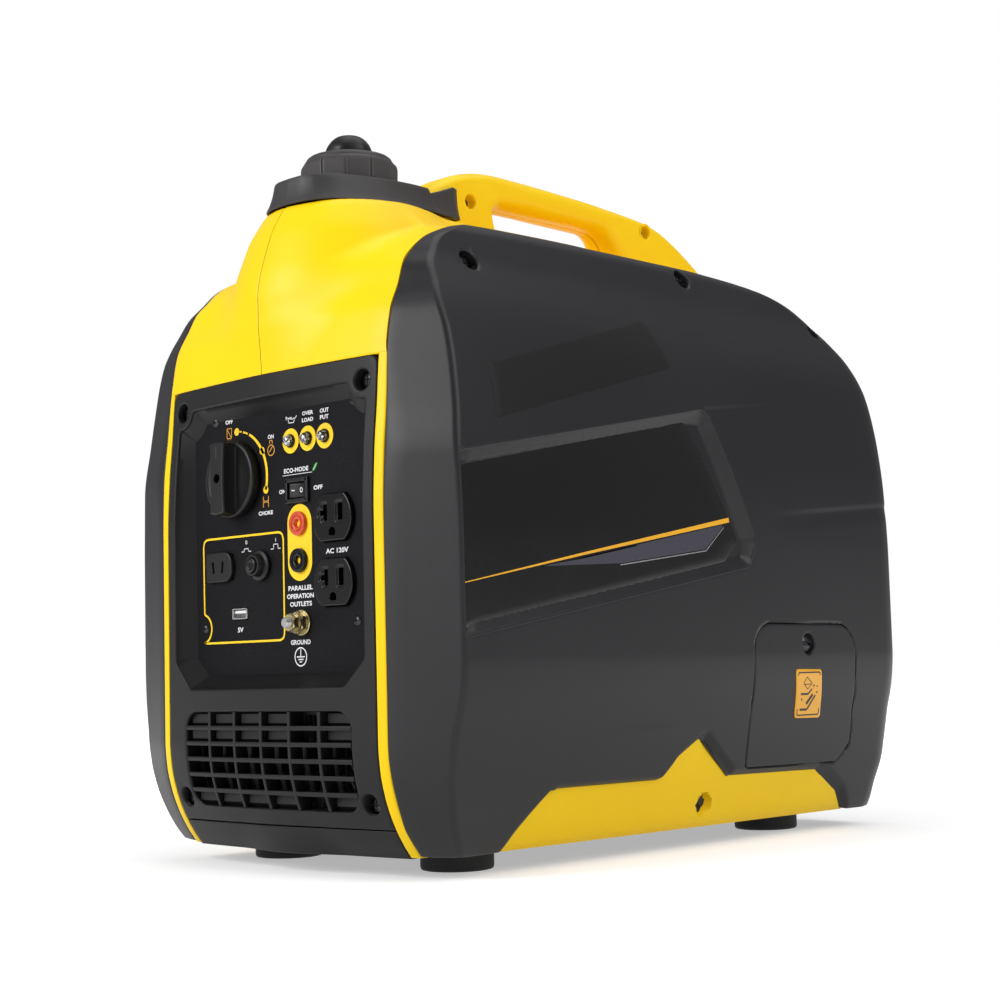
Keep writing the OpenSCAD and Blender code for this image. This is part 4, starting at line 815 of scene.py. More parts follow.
def yellowPiece(side):
    # built on the right, then mirrored for the left half
    s = yellowShell
    shape = Shape()
    hub = np.array([0, -20.0, 200.0])
    p = hoodGrid()
    n = caseNormal(p)
    p = p - n * seamSink(p[..., 0])[..., None]
    last, down = p[-1], n[-1]
    ahead = last - p[-3]
    ahead = ahead / np.maximum(np.linalg.norm(ahead, axis=1), 1e-6)[:, None]
    lip = last - down * 1.2
    foot = last - down * s["lipDeep"] + ahead * 3.0
    shape.grid(np.concatenate([p, lip[None], foot[None]])[:, 65:], hub=hub)
    shape.grid(p[:, :66], hub=hub)
    over = np.stack([last, last - down * 0.3 - [0, 0, 0.5], last + [0, 4, -0.6]])
    shape.grid(over[:, :66], hub=np.array([0, -150, 330.0]))
    # deck and rear, in columns of the same x as the hood's last edge
    half, end = s["deckHalf"], s["hoodEnd"]
    x = np.concatenate([[s["seam"], 0.5, 1.2], np.linspace(half, 2.5, 46)[::-1]])
    path = np.array([(end, 377), (-20, 377), (53, 377), (100, 375.4), (140, 372.5), (160, 369.5), (175, 366),
                     (190, 359), (203, 348), (214, 337), (221, 325), (225.5, 313), (228, 300),
                     (229, s["bezelTop"])])
    run = np.concatenate([[0], np.cumsum(np.hypot(*np.diff(path, axis=0).T))])
    u = np.linspace(0, run[-1], 90)
    y, z = np.interp(u, run, path[:, 0]), np.interp(u, run, path[:, 1])
    limit = np.where(z > 372, half, edgeXAt(z) - s["coverGap"])
    wide = x[None] * (1 + (limit / half - 1)[:, None] * ease((x / half)[None] * 1.2 - 0.2))
    guess = np.stack([wide, np.broadcast_to(y[:, None], wide.shape),
                      np.broadcast_to(z[:, None], wide.shape)], -1)
    q = onCase(np.stack([wide * 0.8, np.clip(guess[..., 1], end, 120), wide * 0 + 250], -1), guess)
    q[0, :, 1] = end
    q[:, 0, 0] = s["seam"]
    qn = caseNormal(q)
    q = q - qn * seamSink(q[..., 0])[..., None]
    shape.grid(np.concatenate([q, (q[-1] + [0, -3, 0.0])[None]]), hub=hub)
    last, down = q[:, -1], qn[:, -1]
    lip = np.stack([last, last - down * 1.2, last - down * s["lipDeep"] + [3, 0, 0]])
    shape.grid(lip, hub=np.array([0, 100, 300.0]))
    # trim beside the bezel, and the same beside the rear cover
    for rear in (False, True):
        z = np.concatenate([[12.0, 12.3, 13], np.linspace(15, s["bezelTop"], 130)])
        x = np.linspace(s["trimInner"], s["trimOuter"], 7)
        xx, zz = np.meshgrid(x, z)
        limit = edgeXAt(zz) - s["coverGap"]
        near, far = s["trimInner"], s["trimOuter"]
        xx = near + (xx - near) * (limit - near) / (far - near)
        start = np.stack([xx, 0 * xx, zz], -1)
        face = onCase(start, start + [0, 100.0 if rear else -100.0, 0])
        sign = 1 if rear else -1
        inner = [face[:, :1] + [dx, -sign * dy, 0] for dx, dy in ((0, 6.0), (0, 0.9), (0.25, 0.3))]
        outer = [face[:, -1:] + [dx, -sign * dy, 0] for dx, dy in ((-0.2, 0.25), (0.05, 0.8), (0.2, 5.0))]
        band = np.concatenate(inner + [face[:, 1:-1]] + outer, 1)
        shape.grid(band, hub=np.array([98.0, 0, 150]))
    # base strip, sunk under the side cover
    y = np.linspace(-172, 176, 150)
    z = np.concatenate([[12.0, 12.3, 13.0], np.linspace(15, 76, 34)])
    yy, zz = np.meshgrid(y, z)
    r = np.hypot(yy - stripScrew[0], zz - stripScrew[1] - 0.5)
    deep = 3.1 + 7.0 * (1 - ease((r - 5.4) / 1.3)) + np.where(zz < 13, 0.5 * (13 - zz), 0)
    strip = onSide(yy, zz, depth=deep)
    strip = np.concatenate([strip[:1] - [8.0, 0, 0], strip])
    shape.grid(strip, hub=np.array([0, 0, 60.0]))
    for part in shape.points:
        part *= [side, 1, 1]
    if side < 0:
        shape.faces = [[f[::-1] for f in block] for block in shape.faces]
    return shape


handleScrews = [(-62.5, 416.5), (115.5, 423.5)]
stripScrew = (18.7, 25.5)
handle = {
    "half": 16.0, "slimmer": 1.4,  # half of its width, and what the grip has less
    "corner": 8.0, "rounder": 2.6,  # radius of its corners, and what the grip has more
}


def gripStations():
    # stations of the handle: outer and inner outline points, run front root, grip, rear root
    outer = np.array([(-104, 366), (-104, 384), (-103.6, 399), (-101, 411), (-95, 420.5), (-86, 427.2),
                      (-74, 433), (-60, 437.4), (-48, 439.8), (-30, 440.9), (-10, 440.7), (15, 439.8),
                      (40, 438.7), (62, 437.8), (84, 436.6), (104, 434.6), (121, 431.6), (136, 427),
                      (150, 420.8), (166, 412), (182, 401.8), (196, 390), (206, 376), (212, 358),
                      (213, 338)], float)
    inner = np.array([(-31, 366), (-32.4, 384), (-34.6, 396), (-37, 405), (-38.4, 411), (-38, 414.6),
                      (-35.6, 417.2), (-30, 418.8), (-22, 419), (-12, 419), (0, 419), (18, 419), (38, 419),
                      (56, 418.9), (67, 418.2), (75, 415), (81, 409.2), (86, 402), (91, 394), (96, 386),
                      (101, 377), (106, 366), (111, 356), (118, 346), (126, 335)], float)
    k = np.arange(len(outer), dtype=float)
    t = np.linspace(0, len(outer) - 1, 260)
    pick = [smoothCurve(k, column)(t) for column in (outer[:, 0], outer[:, 1], inner[:, 0], inner[:, 1])]
    return np.stack(pick[:2], -1), np.stack(pick[2:], -1)


def handleHalf(shape, side):
    # rounded-rectangle sections between the outer and inner outline; only the half on this side of the seam
    outer, inner = gripStations()
    tall = np.linalg.norm(outer - inner, axis=1) / 2
    along = (outer[:, 0] + inner[:, 0]) / 2
    grip = ease((along + 62) / 26) * ease((112 - along) / 30)
    half = handle["half"] - handle["slimmer"] * grip
    r = np.minimum(handle["corner"] + handle["rounder"] * grip, tall * 0.9)
    a = np.linspace(0, np.pi / 2, 9)
    mid = (outer + inner) / 2
    way = (outer - inner) / (2 * tall)[:, None]
    edge = [(0.18, 0.5), (0.7, 0.1), (1.6, 0.0)]
    rows = [np.stack([np.full(len(r), x), tall - sink], -1) for x, sink in edge]
    rows += [np.stack([half - r + r * math.sin(t), tall - r + r * math.cos(t)], -1) for t in a]
    flat = np.linspace(1, -1, 34)[1:-1]
    rows += [np.stack([half, (tall - r) * v], -1) for v in flat]
    rows += [np.stack([half - r + r * math.cos(t), -(tall - r) - r * math.sin(t)], -1) for t in a]
    rows += [np.stack([np.full(len(r), x), -(tall - sink)], -1) for x, sink in edge[::-1]]
    sec = np.stack(rows)
    p = np.stack([sec[..., 0], mid[:, 0] + way[:, 0] * sec[..., 1], mid[:, 1] + way[:, 1] * sec[..., 1]], -1)
    for sy, sz in handleScrews:
        d = np.hypot(p[..., 1] - sy, p[..., 2] - sz)
        p[..., 0] = p[..., 0] - np.where(p[..., 0] > 12, 6.0 * (1 - ease((d - 4.3) / 1.2)), 0)
        ring = circle(1.0)
        profile = ((6.6, 15.98), (5.9, 16.03), (5.2, 15.9), (4.75, 15.4), (4.5, 14.6), (4.3, 9.5))
        rim = np.stack([np.column_stack([np.full(len(ring), x), sy + ring[:, 0] * k, sz + ring[:, 1] * k])
                        for k, x in profile])
        shape.grid(rim * [side, 1, 1], closed=True, facing=(side, 0, 0))
        shape.cap(rim[-1] * [side, 1, 1], facing=(side, 0, 0))
    shape.grid(p * [side, 1, 1], flip=side > 0)


for side, name in ((1, "yellowShellRight"), (-1, "yellowShellLeft")):
    shape = yellowPiece(side)
    handleHalf(shape, side)
    shape.made(name, "yellowShell", sharp=48, weld=0.02)
print("yellow shells made")


# front bezel: the face round the control recess and the air grille, with drafted walls
frontBezel = {
    "half": 94.2, "top": 289.2, "middle": 99.0, "bottom": 27.5,
    "topCorner": 6.0,
    "plateY": -214.4,
    "draft": 8.0,
    "boss": (83.0, 276.0, 10.8),
    "screws": [(83.0, 276.0), (-83.0, 276.0), (83.0, 41.5), (-83.0, 41.5)],
    "screwRadius": 5.9,
    "grille": (75.0, 37.0, 92.5, 11.0),
    "bars": 2.7,
    "barDeep": 10.0,
    "skirtLow": 11.2,
    "skirtHigh": 26.9,
}


def softened(loop, step=1.0, passes=5):
    # even points, each moved toward its two neighbours: (a + 2b + c) / 4, passes times
    q = evenly(loop, step)
    for _ in range(passes):
        q = (np.roll(q, 1, 0) + 2 * q + np.roll(q, -1, 0)) / 4
    return q


def controlOpening():
    # opening of the control recess, cut in at the top round the two screw bosses
    bx, bz, br = frontBezel["boss"]
    a = np.radians(np.linspace(-74, -178, 16))
    arc = np.stack([bx + br * np.cos(a), bz + br * np.sin(a)], -1)
    corners = np.vstack([[[-70, 106.2], [70, 106.2], [86, 121.8]], arc, (arc * [-1, 1])[::-1],
                         [[-86, 121.8]]])
    return softened(corners)


def rayToRect(loop, centre, half, low, high):
    # from the centre through each loop point to the rectangle round it, its corners kept
    d = loop - centre
    with np.errstate(divide="ignore"):
        t = np.minimum(half / np.abs(d[:, 0]), np.where(d[:, 1] > 0, (high - centre[1]) / np.abs(d[:, 1]),
                                                        (centre[1] - low) / np.abs(d[:, 1])))
    out = centre + d * t[:, None]
    for x, z in ((-half, low), (half, low), (half, high), (-half, high)):
        out[np.argmin(np.hypot(out[:, 0] - x, out[:, 1] - z))] = (x, z)
    return out


def bezelFace(shape, inner, centre, low, high, fixedRow, middleRows, depthY, draft):
    # rings from the outer edge to an opening, then a drafted wall back to depthY
    s = frontBezel
    outer = rayToRect(inner, centre, s["half"], low, high)
    corner = s["topCorner"]
    if high > 200:
        cx, cz = s["half"] - corner, high - corner
        over = (np.abs(outer[:, 0]) > cx) & (outer[:, 1] > cz)
        d = np.stack([np.abs(outer[:, 0]) - cx, outer[:, 1] - cz], -1)
        k = corner / np.maximum(np.hypot(*d.T), corner)
        arc = np.stack([np.sign(outer[:, 0]) * (cx + d[:, 0] * k), cz + d[:, 1] * k], -1)
        outer = np.where(over[:, None], arc, outer)
    span = np.linalg.norm(inner - outer, axis=1)
    way = (inner - outer) / span[:, None]
    w = np.where(np.abs(outer[:, 1] - fixedRow) < 0.3, 0.0, 1.0)
    rows = [(0 * span, 5.0 * w + 0.6 * (1 - w)), (0 * span, 0.8 * w), (0.25 + 0 * span, 0.25 * w)]
    for f in np.linspace(0, 1, middleRows):
        rows.append((0.8 + f * (span - 2.4), 0 * span))
    rows += [(span - short, sink + 0 * span) for short,
             sink in ((1.0, 0.11), (0.47, 0.47), (0.11, 1.0), (0, 1.6))]
    grid = []
    for along, sink in rows:
        at = outer + way * along[:, None]
        dist = np.min([np.hypot(at[:, 0] - x, at[:, 1] - z) for x, z in s["screws"]], axis=0)
        grid.append(onFront(at[:, 0], at[:, 1],
                            depth=sink + 9 * (1 - ease((dist - s["screwRadius"] - 0.4) / 1.1))))
    rim = grid[-1]
    normal = outward(inner)
    for t in (0.33, 0.66, 1.0):
        at = inner - normal * draft * t
        grid.append(np.stack([at[:, 0], rim[:, 1] * (1 - t) + depthY * t, at[:, 1]], -1))
    shape.grid(np.stack(grid), closed=True, facing=(0, -1, 0))


def frontHole(shape, x, z, r, seat, n=56):
    # rounded rim and wall of a screw hole in the front face, down to a flat seat
    ring = circle(1.0, n)
    rows = [(r + 2.4, 0.02), (r + 1.6, -0.06), (r + 0.9, 0.02), (r + 0.35, 0.35), (r, 1.1)]
    grid = [onFront(x + ring[:, 0] * k, z + ring[:, 1] * k, depth=d) for k, d in rows]
    floor = grid[-1].copy()
    floor[:, 0], floor[:, 2] = x + ring[:, 0] * (r - 0.5), z + ring[:, 1] * (r - 0.5)
    floor[:, 1] = seat
    shape.grid(np.stack(grid + [floor]), closed=True, facing=(0, -1, 0))


def frontBar(shape, fixed, low, high, level, wide, deep):
    # tapered bar with a rounded nose, following the front's crown
    h = wide / 2
    section = [(-h * 0.68, deep), (-h, 0.9), (-h * 0.93, 0.45), (-h * 0.6, 0.18), (h * 0.6, 0.18),
               (h * 0.93, 0.45), (h, 0.9), (h * 0.68, deep)]
    along = np.linspace(low, high, 60)
    rows = []
    for off, d in section:
        x, z = (along, fixed + off + 0 * along) if level else (fixed + off + 0 * along, along)
        rows.append(onFront(x, z, depth=d))
    shape.grid(np.stack(rows, 1), closed=True, flip=not level)


def bezelPiece():
    # the frame round both openings, its screw holes, the grille's bars and the vanes behind them
    s = frontBezel
    shape = Shape()
    opening = controlOpening()
    bezelFace(shape, opening, np.array([0, 192.0]), s["middle"], s["top"], s["middle"], 22, s["plateY"],
              s["draft"])
    half, low, high, r = s["grille"]
    outline = evenly(rounded((-half, low), (half, high), r, 10), 1.0)
    bezelFace(shape, outline, np.array([0, 64.7]), s["bottom"], s["middle"], s["middle"], 16, -208.0, 0.6)
    for x, z in s["screws"]:
        frontHole(shape, x, z, s["screwRadius"], -216.0)
    step = (high - low) / 6
    for k in range(1, 6):
        frontBar(shape, low + k * step, -half, half, True, s["bars"], s["barDeep"])
        frontBar(shape, -half + k * 25.0, low, high, False, s["bars"] - 0.2, s["barDeep"] - 0.4)
    # closing plates a few millimetres behind rows 1, 2 and 6, and slanted vanes behind the open rows
    for row in (0, 4, 5):
        z0, z1 = low + row * step, low + (row + 1) * step
        for k in (0, 1, 2, 3, 5):
            x0 = -half + 25 * k
            loop = rounded((x0 + 2.4, z0 + 2.4), (x0 + 24, z1 - 0.8), 0.6, 3)
            mid = loop.mean(0)
            y = onFront(mid[0], mid[1])[1] + 4.0
            raised(shape, loop, [(-2.0, -3.0), (0, -0.6), (0.4, 0.0)], (0, y, 0), **front)
    shape.made("frontBezel", "charcoalBezel", sharp=42)
    dark = Shape()
    for row in (1, 2, 3):
        for k in range(6):
            x0, z1 = -half + 25 * k, low + (row + 1) * step
            line = np.array([(x0 + 13.5, z1 - 0.6), (x0 + 15.5, z1 - 3.6), (x0 + 17.0, z1 - 5.6)])
            ribbonOn(dark, line, [0.5, 1.0, 0.5], (0, -215.4, 0), front, lift=1.2)
    for x in np.arange(-70, 71, 7.0):
        section = [(x - 2.4, -204.0), (x - 2.0, -203.6), (x + 2.4, -208.6), (x + 2.0, -209.0)]
        g = np.array([[(px, py, z) for px, py in section] for z in np.linspace(36, 93, 8)])
        dark.grid(g, closed=True, hub=np.array([x, -206.3, 65.0]))
    dark.made("grilleVanes", "darkInside", sharp=40)


def ribbonOn(shape, line, width, origin, side, lift=0.06, closed=False):
    # flat strip of a given width along a line, drawn on a plane
    line = np.asarray(line, float)
    width = np.broadcast_to(np.asarray(width, float), len(line)) / 2
    if closed:
        n = outward(line)
    else:
        t = np.gradient(line, axis=0)
        t = t / np.maximum(np.hypot(*t.T), 1e-9)[:, None]
        n = np.column_stack([t[:, 1], -t[:, 0]])
    rows = [place(line + n * (width * k)[:, None], np.full(len(line), lift), origin, **side) for k in (1, -1)]
    shape.grid(np.stack(rows), closed=closed, facing=np.cross(side["across"], side["up"]))


def lettering(shape, words, at, height, wide, origin, side, lift=0.08, bold=0.032):
    # filled letters from a text curve, scaled to the height and width asked
    curve = bpy.data.curves.new("words", "FONT")
    curve.body, curve.size, curve.offset, curve.resolution_u = words, 1.0, bold, 3
    curve.align_x, curve.align_y = "CENTER", "CENTER"
    holder = bpy.data.objects.new("words", curve)
    bpy.context.scene.collection.objects.link(holder)
    mesh = bpy.data.meshes.new_from_object(holder.evaluated_get(bpy.context.evaluated_depsgraph_get()))
    co = np.empty(len(mesh.vertices) * 3)
    mesh.vertices.foreach_get("co", co)
    mesh.calc_loop_triangles()
    tris = np.empty(len(mesh.loop_triangles) * 3, int)
    mesh.loop_triangles.foreach_get("vertices", tris)
    bpy.data.objects.remove(holder)
    bpy.data.curves.remove(curve)
    bpy.data.meshes.remove(mesh)
    plan = co.reshape(-1, 3)[:, :2]
    low, high = plan.min(0), plan.max(0)
    plan = (plan - (low + high) / 2) * (np.array([wide, height]) / (high - low)) + at
    p = place(plan, np.full(len(plan), lift), origin, **side)
    shape.add(p, tris.reshape(-1, 3), facing=np.cross(side["across"], side["up"]))


def turned(shape, profile, origin, side, n=64, ripple=None, closeTop=True):
    # profile of (radius, height) turned about the out axis; ripple changes the radius with angle
    a = np.arange(n) * 2 * np.pi / n
    rows = []
    for r, h in profile:
        rr = r + (ripple(a, r, h) if ripple is not None else 0.0)
        rows.append(place(np.column_stack([rr * np.cos(a), rr * np.sin(a)]), np.full(n, float(h)), origin,
                          **side))
    shape.grid(np.stack(rows), closed=True)
    if closeTop:
        shape.cap(rows[-1])


def carvedTop(shape, loop, height, rings, carve, origin, side):
    # flat top of a loop in rings towards its middle, lowered by carve(a, b)
    centre = loop.mean(0)
    rows = []
    for t in np.linspace(1, 0, rings + 1)[:-1]:
        q = centre + (loop - centre) * t
        rows.append(place(q, height - carve(q[:, 0] - centre[0], q[:, 1] - centre[1]), origin, **side))
    shape.grid(np.stack(rows), closed=True)
    shape.cap(rows[-1])


def boxDepth(a, b, ca, cb, wa, wb, r=0.3, turn=0.0):
    # signed distance inside a rounded box: positive inside
    c, s = math.cos(turn), math.sin(turn)
    u, v = (a - ca) * c + (b - cb) * s, (b - cb) * c - (a - ca) * s
    qa, qb = np.abs(u) - wa / 2 + r, np.abs(v) - wb / 2 + r
    return -(np.hypot(np.maximum(qa, 0), np.maximum(qb, 0)) + np.minimum(np.maximum(qa, qb), 0) - r)


def skirtPiece():
    # curved strip under the bezel, its four edges rounded and turned back
    s = frontBezel
    half, low, high = s["half"], s["skirtLow"], s["skirtHigh"]
    shape = Shape()
    xx, zz = np.meshgrid(edged(-half, half, 4.0), edged(low, high, 1.2))
    edge = np.minimum(half - np.abs(xx), np.minimum(high - zz, zz - low))
    face = onFront(xx, zz, depth=roundedEdge(edge, 0.9))
    face = np.concatenate([face[:1] + [0, 5, 0], face, face[-1:] + [0, 5, 0]])
    shape.grid(face, hub=np.array([0, 0, 20.0]))
    for end in (0, -1):
        shape.grid(np.stack([face[1:-1, end], face[1:-1, end] + [0, 5, 0]]), hub=np.array([0, -210.0, 20]))
    shape.made("frontSkirt", "charcoalBezel", sharp=42)


bezelPiece()
skirtPiece()
print("front bezel made")


# controls on the plate
panel = {
    "y": -214.5,
    "knob": (-37.6, 231.0),
    "lamps": [(13.6, 249.2), (29.0, 249.2), (44.2, 249.1)],
    "rocker": (19.8, 219.7),
    "jacks": (20.5, 200.4, 179.0),
    "outlets": [(52.3, 201.6), (52.3, 164.8)],
    "dcSocket": (-53.0, 179.0),
    "breaker": (-15.0, 178.0),
    "usb": (-35.5, 150.4),
    "ground": (22.0, 143.0),
    "screws": [(-57.2, 267.8), (69.4, 266.7), (-69.6, 142.4), (69.6, 142.4)],
}


def spot(x, z, h=0.0):
    # a point on the control plate, raised by h
    return (x, panel["y"] - h, z)


def fuelKnob():
    # skirted dial with a waisted grip: half width = wide - (1 - s^2), and a hole down its middle
    at = spot(*panel["knob"])
    big, wide, tall = 22.2, 7.3, 15.3
    shape = Shape()
    turned(shape, [(22.4, 0.4), (23.1, 0.7), (23.3, 1.3), (23.3, 5.2), (23.0, 6.0), (22.2, 6.5), (21.0, 6.6),
                   (20.6, 6.5), (20.3, 6.1), (19.9, 5.9), (12, 5.9)], at, front, n=96)
    s = np.linspace(-1, 1, 40)
    rightSide = np.column_stack([wide - (1 - s ** 2), s * math.sqrt(big * big - wide ** 2)])
    start = math.acos(wide / big)
    a = np.linspace(start, math.pi - start, 16)[1:-1]
    cap = np.column_stack([big * np.cos(a), big * np.sin(a)])
    loop = np.vstack([rightSide, cap, -rightSide, -cap])
    profile = [(-0.9, 5.7), (-0.35, 6.1), (0, 6.9), (0.35, 13.6)] + quarter(1.2, tall, 4, 0.35)
    raised(shape, loop, profile, at, top=False, **front)
    flat = loop - outward(loop) * profile[-1][0]
    reach = flat / np.maximum(np.hypot(*flat.T), 1e-9)[:, None]
    rings = [(flat, tall), (flat * 0.55 + reach * 3.1 * 0.45, 15.32), (reach * 3.1, tall),
             (reach * 2.8, 15.0), (reach * 2.75, 9.0)]
    g = np.stack([place(q, np.full(len(q), h), at, **front) for q, h in rings])
    shape.grid(g, closed=True)
    shape.sheet(g[-1])
    shape.made("fuelKnob", "knobBlack", sharp=38)
    # painted highlight: a lighter grey strip across the top stands in for the engraved pointer groove
    # catching light
    mark = Shape()
    ribbonOn(mark, np.array([(0, 12.0), (0, 19.0)]), 0.7, spot(*panel["knob"], tall), front)
    mark.made("fuelKnobGrooveHighlight", "greyInk")


def lampsAndRings():
    # three turned lamps: yellow ring printed on the plate, black rim, clear lens
    rings, bodies, lens = Shape(), Shape(), Shape()
    for lamp in panel["lamps"]:
        at = spot(*lamp)
        turned(rings, [(7.35, 0.0), (7.3, 0.1), (3.6, 0.1)], at, front, n=72, closeTop=False)
        turned(bodies, [(4.0, 0.0), (4.0, 0.9), (3.7, 1.25), (3.2, 1.3), (3.15, 0.9)], at, front, n=48)
        turned(lens, [(3.2, 0.8), (3.2, 2.5), (3.0, 3.3), (2.5, 4.0), (1.7, 4.5), (0.8, 4.72)], at, front,
               n=48)
    rings.made("lampRings", "yellowInk")
    bodies.made("lampBezels", "socketBlack", sharp=38)
    lens.made("lampLenses", "lampLens", sharp=60)


def rocker():
    # frame with a raised lip, and a tilted key with a hollow top: height = rise - sqrt(hollow^2 - u^2)
    at = spot(*panel["rocker"])
    half, tall, tilt, hollow, rise = 6.0, 4.2, math.radians(9), 20.0, 22.9
    case, key, marks = Shape(), Shape(), Shape()
    loop = rounded((-10.4, -7.4), (10.4, 7.4), 1.0, 5)
    mouth = [(2.2, 2.0), (2.45, 1.9), (2.55, 1.6), (2.6, -2.0)]
    raised(case, loop, [(0, 0.05)] + quarter(0.6, 2.0, 3) + mouth, at, **front)

    def onKey(u, v, drop=0.0, lift=0.0):
        h = rise - np.sqrt(hollow ** 2 - u ** 2) - drop
        plan = np.stack([u * math.cos(tilt) + h * math.sin(tilt), v], -1)
        return place(plan, h * math.cos(tilt) - u * math.sin(tilt) - 2.0 + lift, at, **front)

    edge = half - 0.25
    uu, vv = np.meshgrid(np.linspace(-edge, edge, 25), edged(-tall, tall, 0.8, edge=(0, 0.06, 0.2, 0.5)))
    top = onKey(uu, vv, drop=roundedEdge(np.minimum(tall - np.abs(vv), edge - np.abs(uu)), 0.5) * 0.9)
    border = np.concatenate([top[0, :-1], top[:-1, -1], top[-1, :0:-1], top[:0:-1, 0]])
    low = border + [0, 4.5, 0]
    key.grid(top)
    key.grid(np.stack([low, border]), closed=True)
    key.sheet(low)
    bar = np.array([[-4.4, -0.3], [-2.0, -0.3], [-2.0, 0.3], [-4.4, 0.3]])
    marks.sheet(onKey(*bar.T, lift=0.07))
    ring = circle(1.0, 28)
    marks.grid(np.stack([onKey(*(ring * [k, k * 1.25] + [3.1, 0]).T, lift=0.07) for k in (1.25, 0.75)]),
               closed=True)
    case.made("rockerFrame", "knobBlack", sharp=38)
    key.made("ecoRocker", "knobBlack", sharp=38)
    marks.made("rockerMarks", "whiteInk")


def jack(name, z, finish):
    # turned socket with a deep hole
    shape = Shape()
    turned(shape, [(7.0, 0.1), (7.0, 2.0), (6.85, 2.4), (6.4, 2.5), (5.0, 2.5), (4.75, 2.25), (4.6, 1.7),
                   (4.3, 1.6), (4.05, 2.2), (3.85, 2.4), (3.0, 2.4), (2.75, 2.2), (2.25, 1.4), (2.1, 0.4),
                   (2.1, -8.0)],
           spot(panel["jacks"][0], z), front, n=72)
    shape.made(name, finish, sharp=40)


def outlet(name, at):
    # duplex-style socket face: shallow cup round a T slot, a straight slot and an earth hole
    shape = Shape()
    big, flat = 16.8, 13.4  # a round cut off above and below
    a = np.linspace(-1, 1, 30) * math.asin(flat / big)
    arc = np.column_stack([big * np.cos(a), big * np.sin(a)])
    loop = softened(np.vstack([arc, -arc]), 0.45, 3)
    slots = (((-6.6, 3.0, 3.4, 9.6), 1.0), ((-8.0, 3.0, 6.4, 3.2), 0.9), ((6.2, 3.0, 4.2, 10.2), 1.0))

    def carve(u, v):
        d = 0 * u
        for box, wide in slots:
            inner = boxDepth(u, v, *box, r=0.4)
            d = np.maximum(d, 6.0 * ease(inner / wide))
            d = np.maximum(d, 0.9 * ease((inner + 1.5) / 1.5))
        hole = np.minimum(2.9 - np.hypot(u, v + 8.4), v + 8.4 + 2.0)
        return np.maximum(d, 5.0 * ease(hole / 0.8))

    raised(shape, loop, [(0, 0.05), (0, 2.1)] + quarter(0.8, 3.0, 4)[1:], spot(*at), top=False, **front)
    carvedTop(shape, loop - outward(loop) * 0.8, 3.0, 44, carve, spot(*at), front)
    shape.made(name, "socketBlack", sharp=36)
    contacts = Shape()
    for u, v, wide, tall in ((-6.6, 3.0, 0.9, 7.4), (6.2, 3.0, 0.9, 8.0)):
        loop = rounded((u - wide / 2, v - tall / 2), (u + wide / 2, v + tall / 2), 0.2, 2)
        raised(contacts, loop, [(0, -4.5), (0, -3.0), (0.15, -2.8)], spot(*at), **front)
    contacts.made(name + "Contacts", "platedSteel")


def dcSocket():
    # body with its right corners rounder, and two blade slots turned a little
    shape = Shape()
    at = spot(*panel["dcSocket"])
    loop = evenly(filleted([[-12.6, -9.2, 2.5], [12.6, -9.2, 7.5], [12.6, 9.2, 7.5], [-12.6, 9.2, 2.5]], 10),
                  0.6)

    def carve(u, v):
        slots = [boxDepth(u, v, x, 0, 1.9, 7.2, 0.4, turn) for x, turn in ((-4.4, 0.12), (4.6, -0.12))]
        return 2.4 * ease(np.maximum(*slots) / 0.5)

    raised(shape, loop, [(0, 0.05), (0, 1.9)] + quarter(1.0, 2.8, 4)[1:], at, top=False, **front)
    carvedTop(shape, loop - outward(loop) * 1.0, 2.8, 34, carve, at, front)
    shape.made("dcSocket", "knobBlack", sharp=36)


def breaker():
    # knurled ring, its knurl a cosine of 40 teeth, round a push button
    shape, button = Shape(), Shape()
    at = spot(*panel["breaker"])

    def knurl(a, r, h):
        return 0.22 * np.cos(40 * a) if 8.5 < r < 9.1 and h < 2.2 else 0.0

    turned(shape, [(8.9, 0.1), (8.9, 2.1), (8.4, 2.5), (7.2, 2.6), (6.8, 2.9), (6.55, 3.6), (6.4, 7.0),
                   (6.1, 7.4), (5.0, 7.5), (4.75, 7.2), (4.7, 0.6)], at, front, n=160, ripple=knurl)
    turned(button, [(4.5, 4.0), (4.5, 8.1), (4.3, 8.6), (3.8, 8.8), (2.9, 8.8), (2.6, 8.55), (2.0, 8.5)], at,
           front, n=48)
    shape.made("breakerRing", "knobBlack", sharp=38)
    button.made("breakerButton", "socketBlack", sharp=38)


def usbSocket():
    # plated rim with a sunk mouth, and the tongue inside it
    shell, tongue = Shape(), Shape()
    at = spot(*panel["usb"])
    loop = rounded((-7.1, -3.4), (7.1, 3.4), 0.9, 4)
    raised(shell, loop, [(0, 0.02), (0.1, 0.7), (0.25, 0.85), (0.8, 0.85), (0.95, 0.7), (1.0, -6.0)], at,
           **front)
    loop = rounded((-5.3, 0.2), (5.3, 1.9), 0.2, 2)
    raised(tongue, loop, [(0, -5.9), (0, -0.3), (0.15, -0.1)], at, **front)
    shell.made("usbShell", "platedSteel", sharp=38)
    tongue.made("usbTongue", "whiteInk", sharp=38)


def hexNut(shape, at, flat, low, high, n=72, chamfer=0.9):
    # six flats with both ends turned to a cone: r = min(flat / cos(angle from the flat), cone)
    a = np.arange(n) * 2 * np.pi / n
    six = flat / np.cos((a + np.pi / 6) % (np.pi / 3) - np.pi / 6)
    big = flat / math.cos(math.pi / 6)
    edge = np.array([0, 0.25, 0.5, chamfer])
    rows = []
    for h in np.concatenate([low + edge, high - edge[::-1]]):
        cone = big - 0.03 - max(0, chamfer - (h - low), chamfer - (high - h)) * 0.8
        r = np.minimum(six, cone)
        rows.append(place(np.column_stack([r * np.cos(a), r * np.sin(a)]), np.full(n, h), at, **front))
    shape.grid(np.stack(rows), closed=True)
    shape.cap(rows[-1])


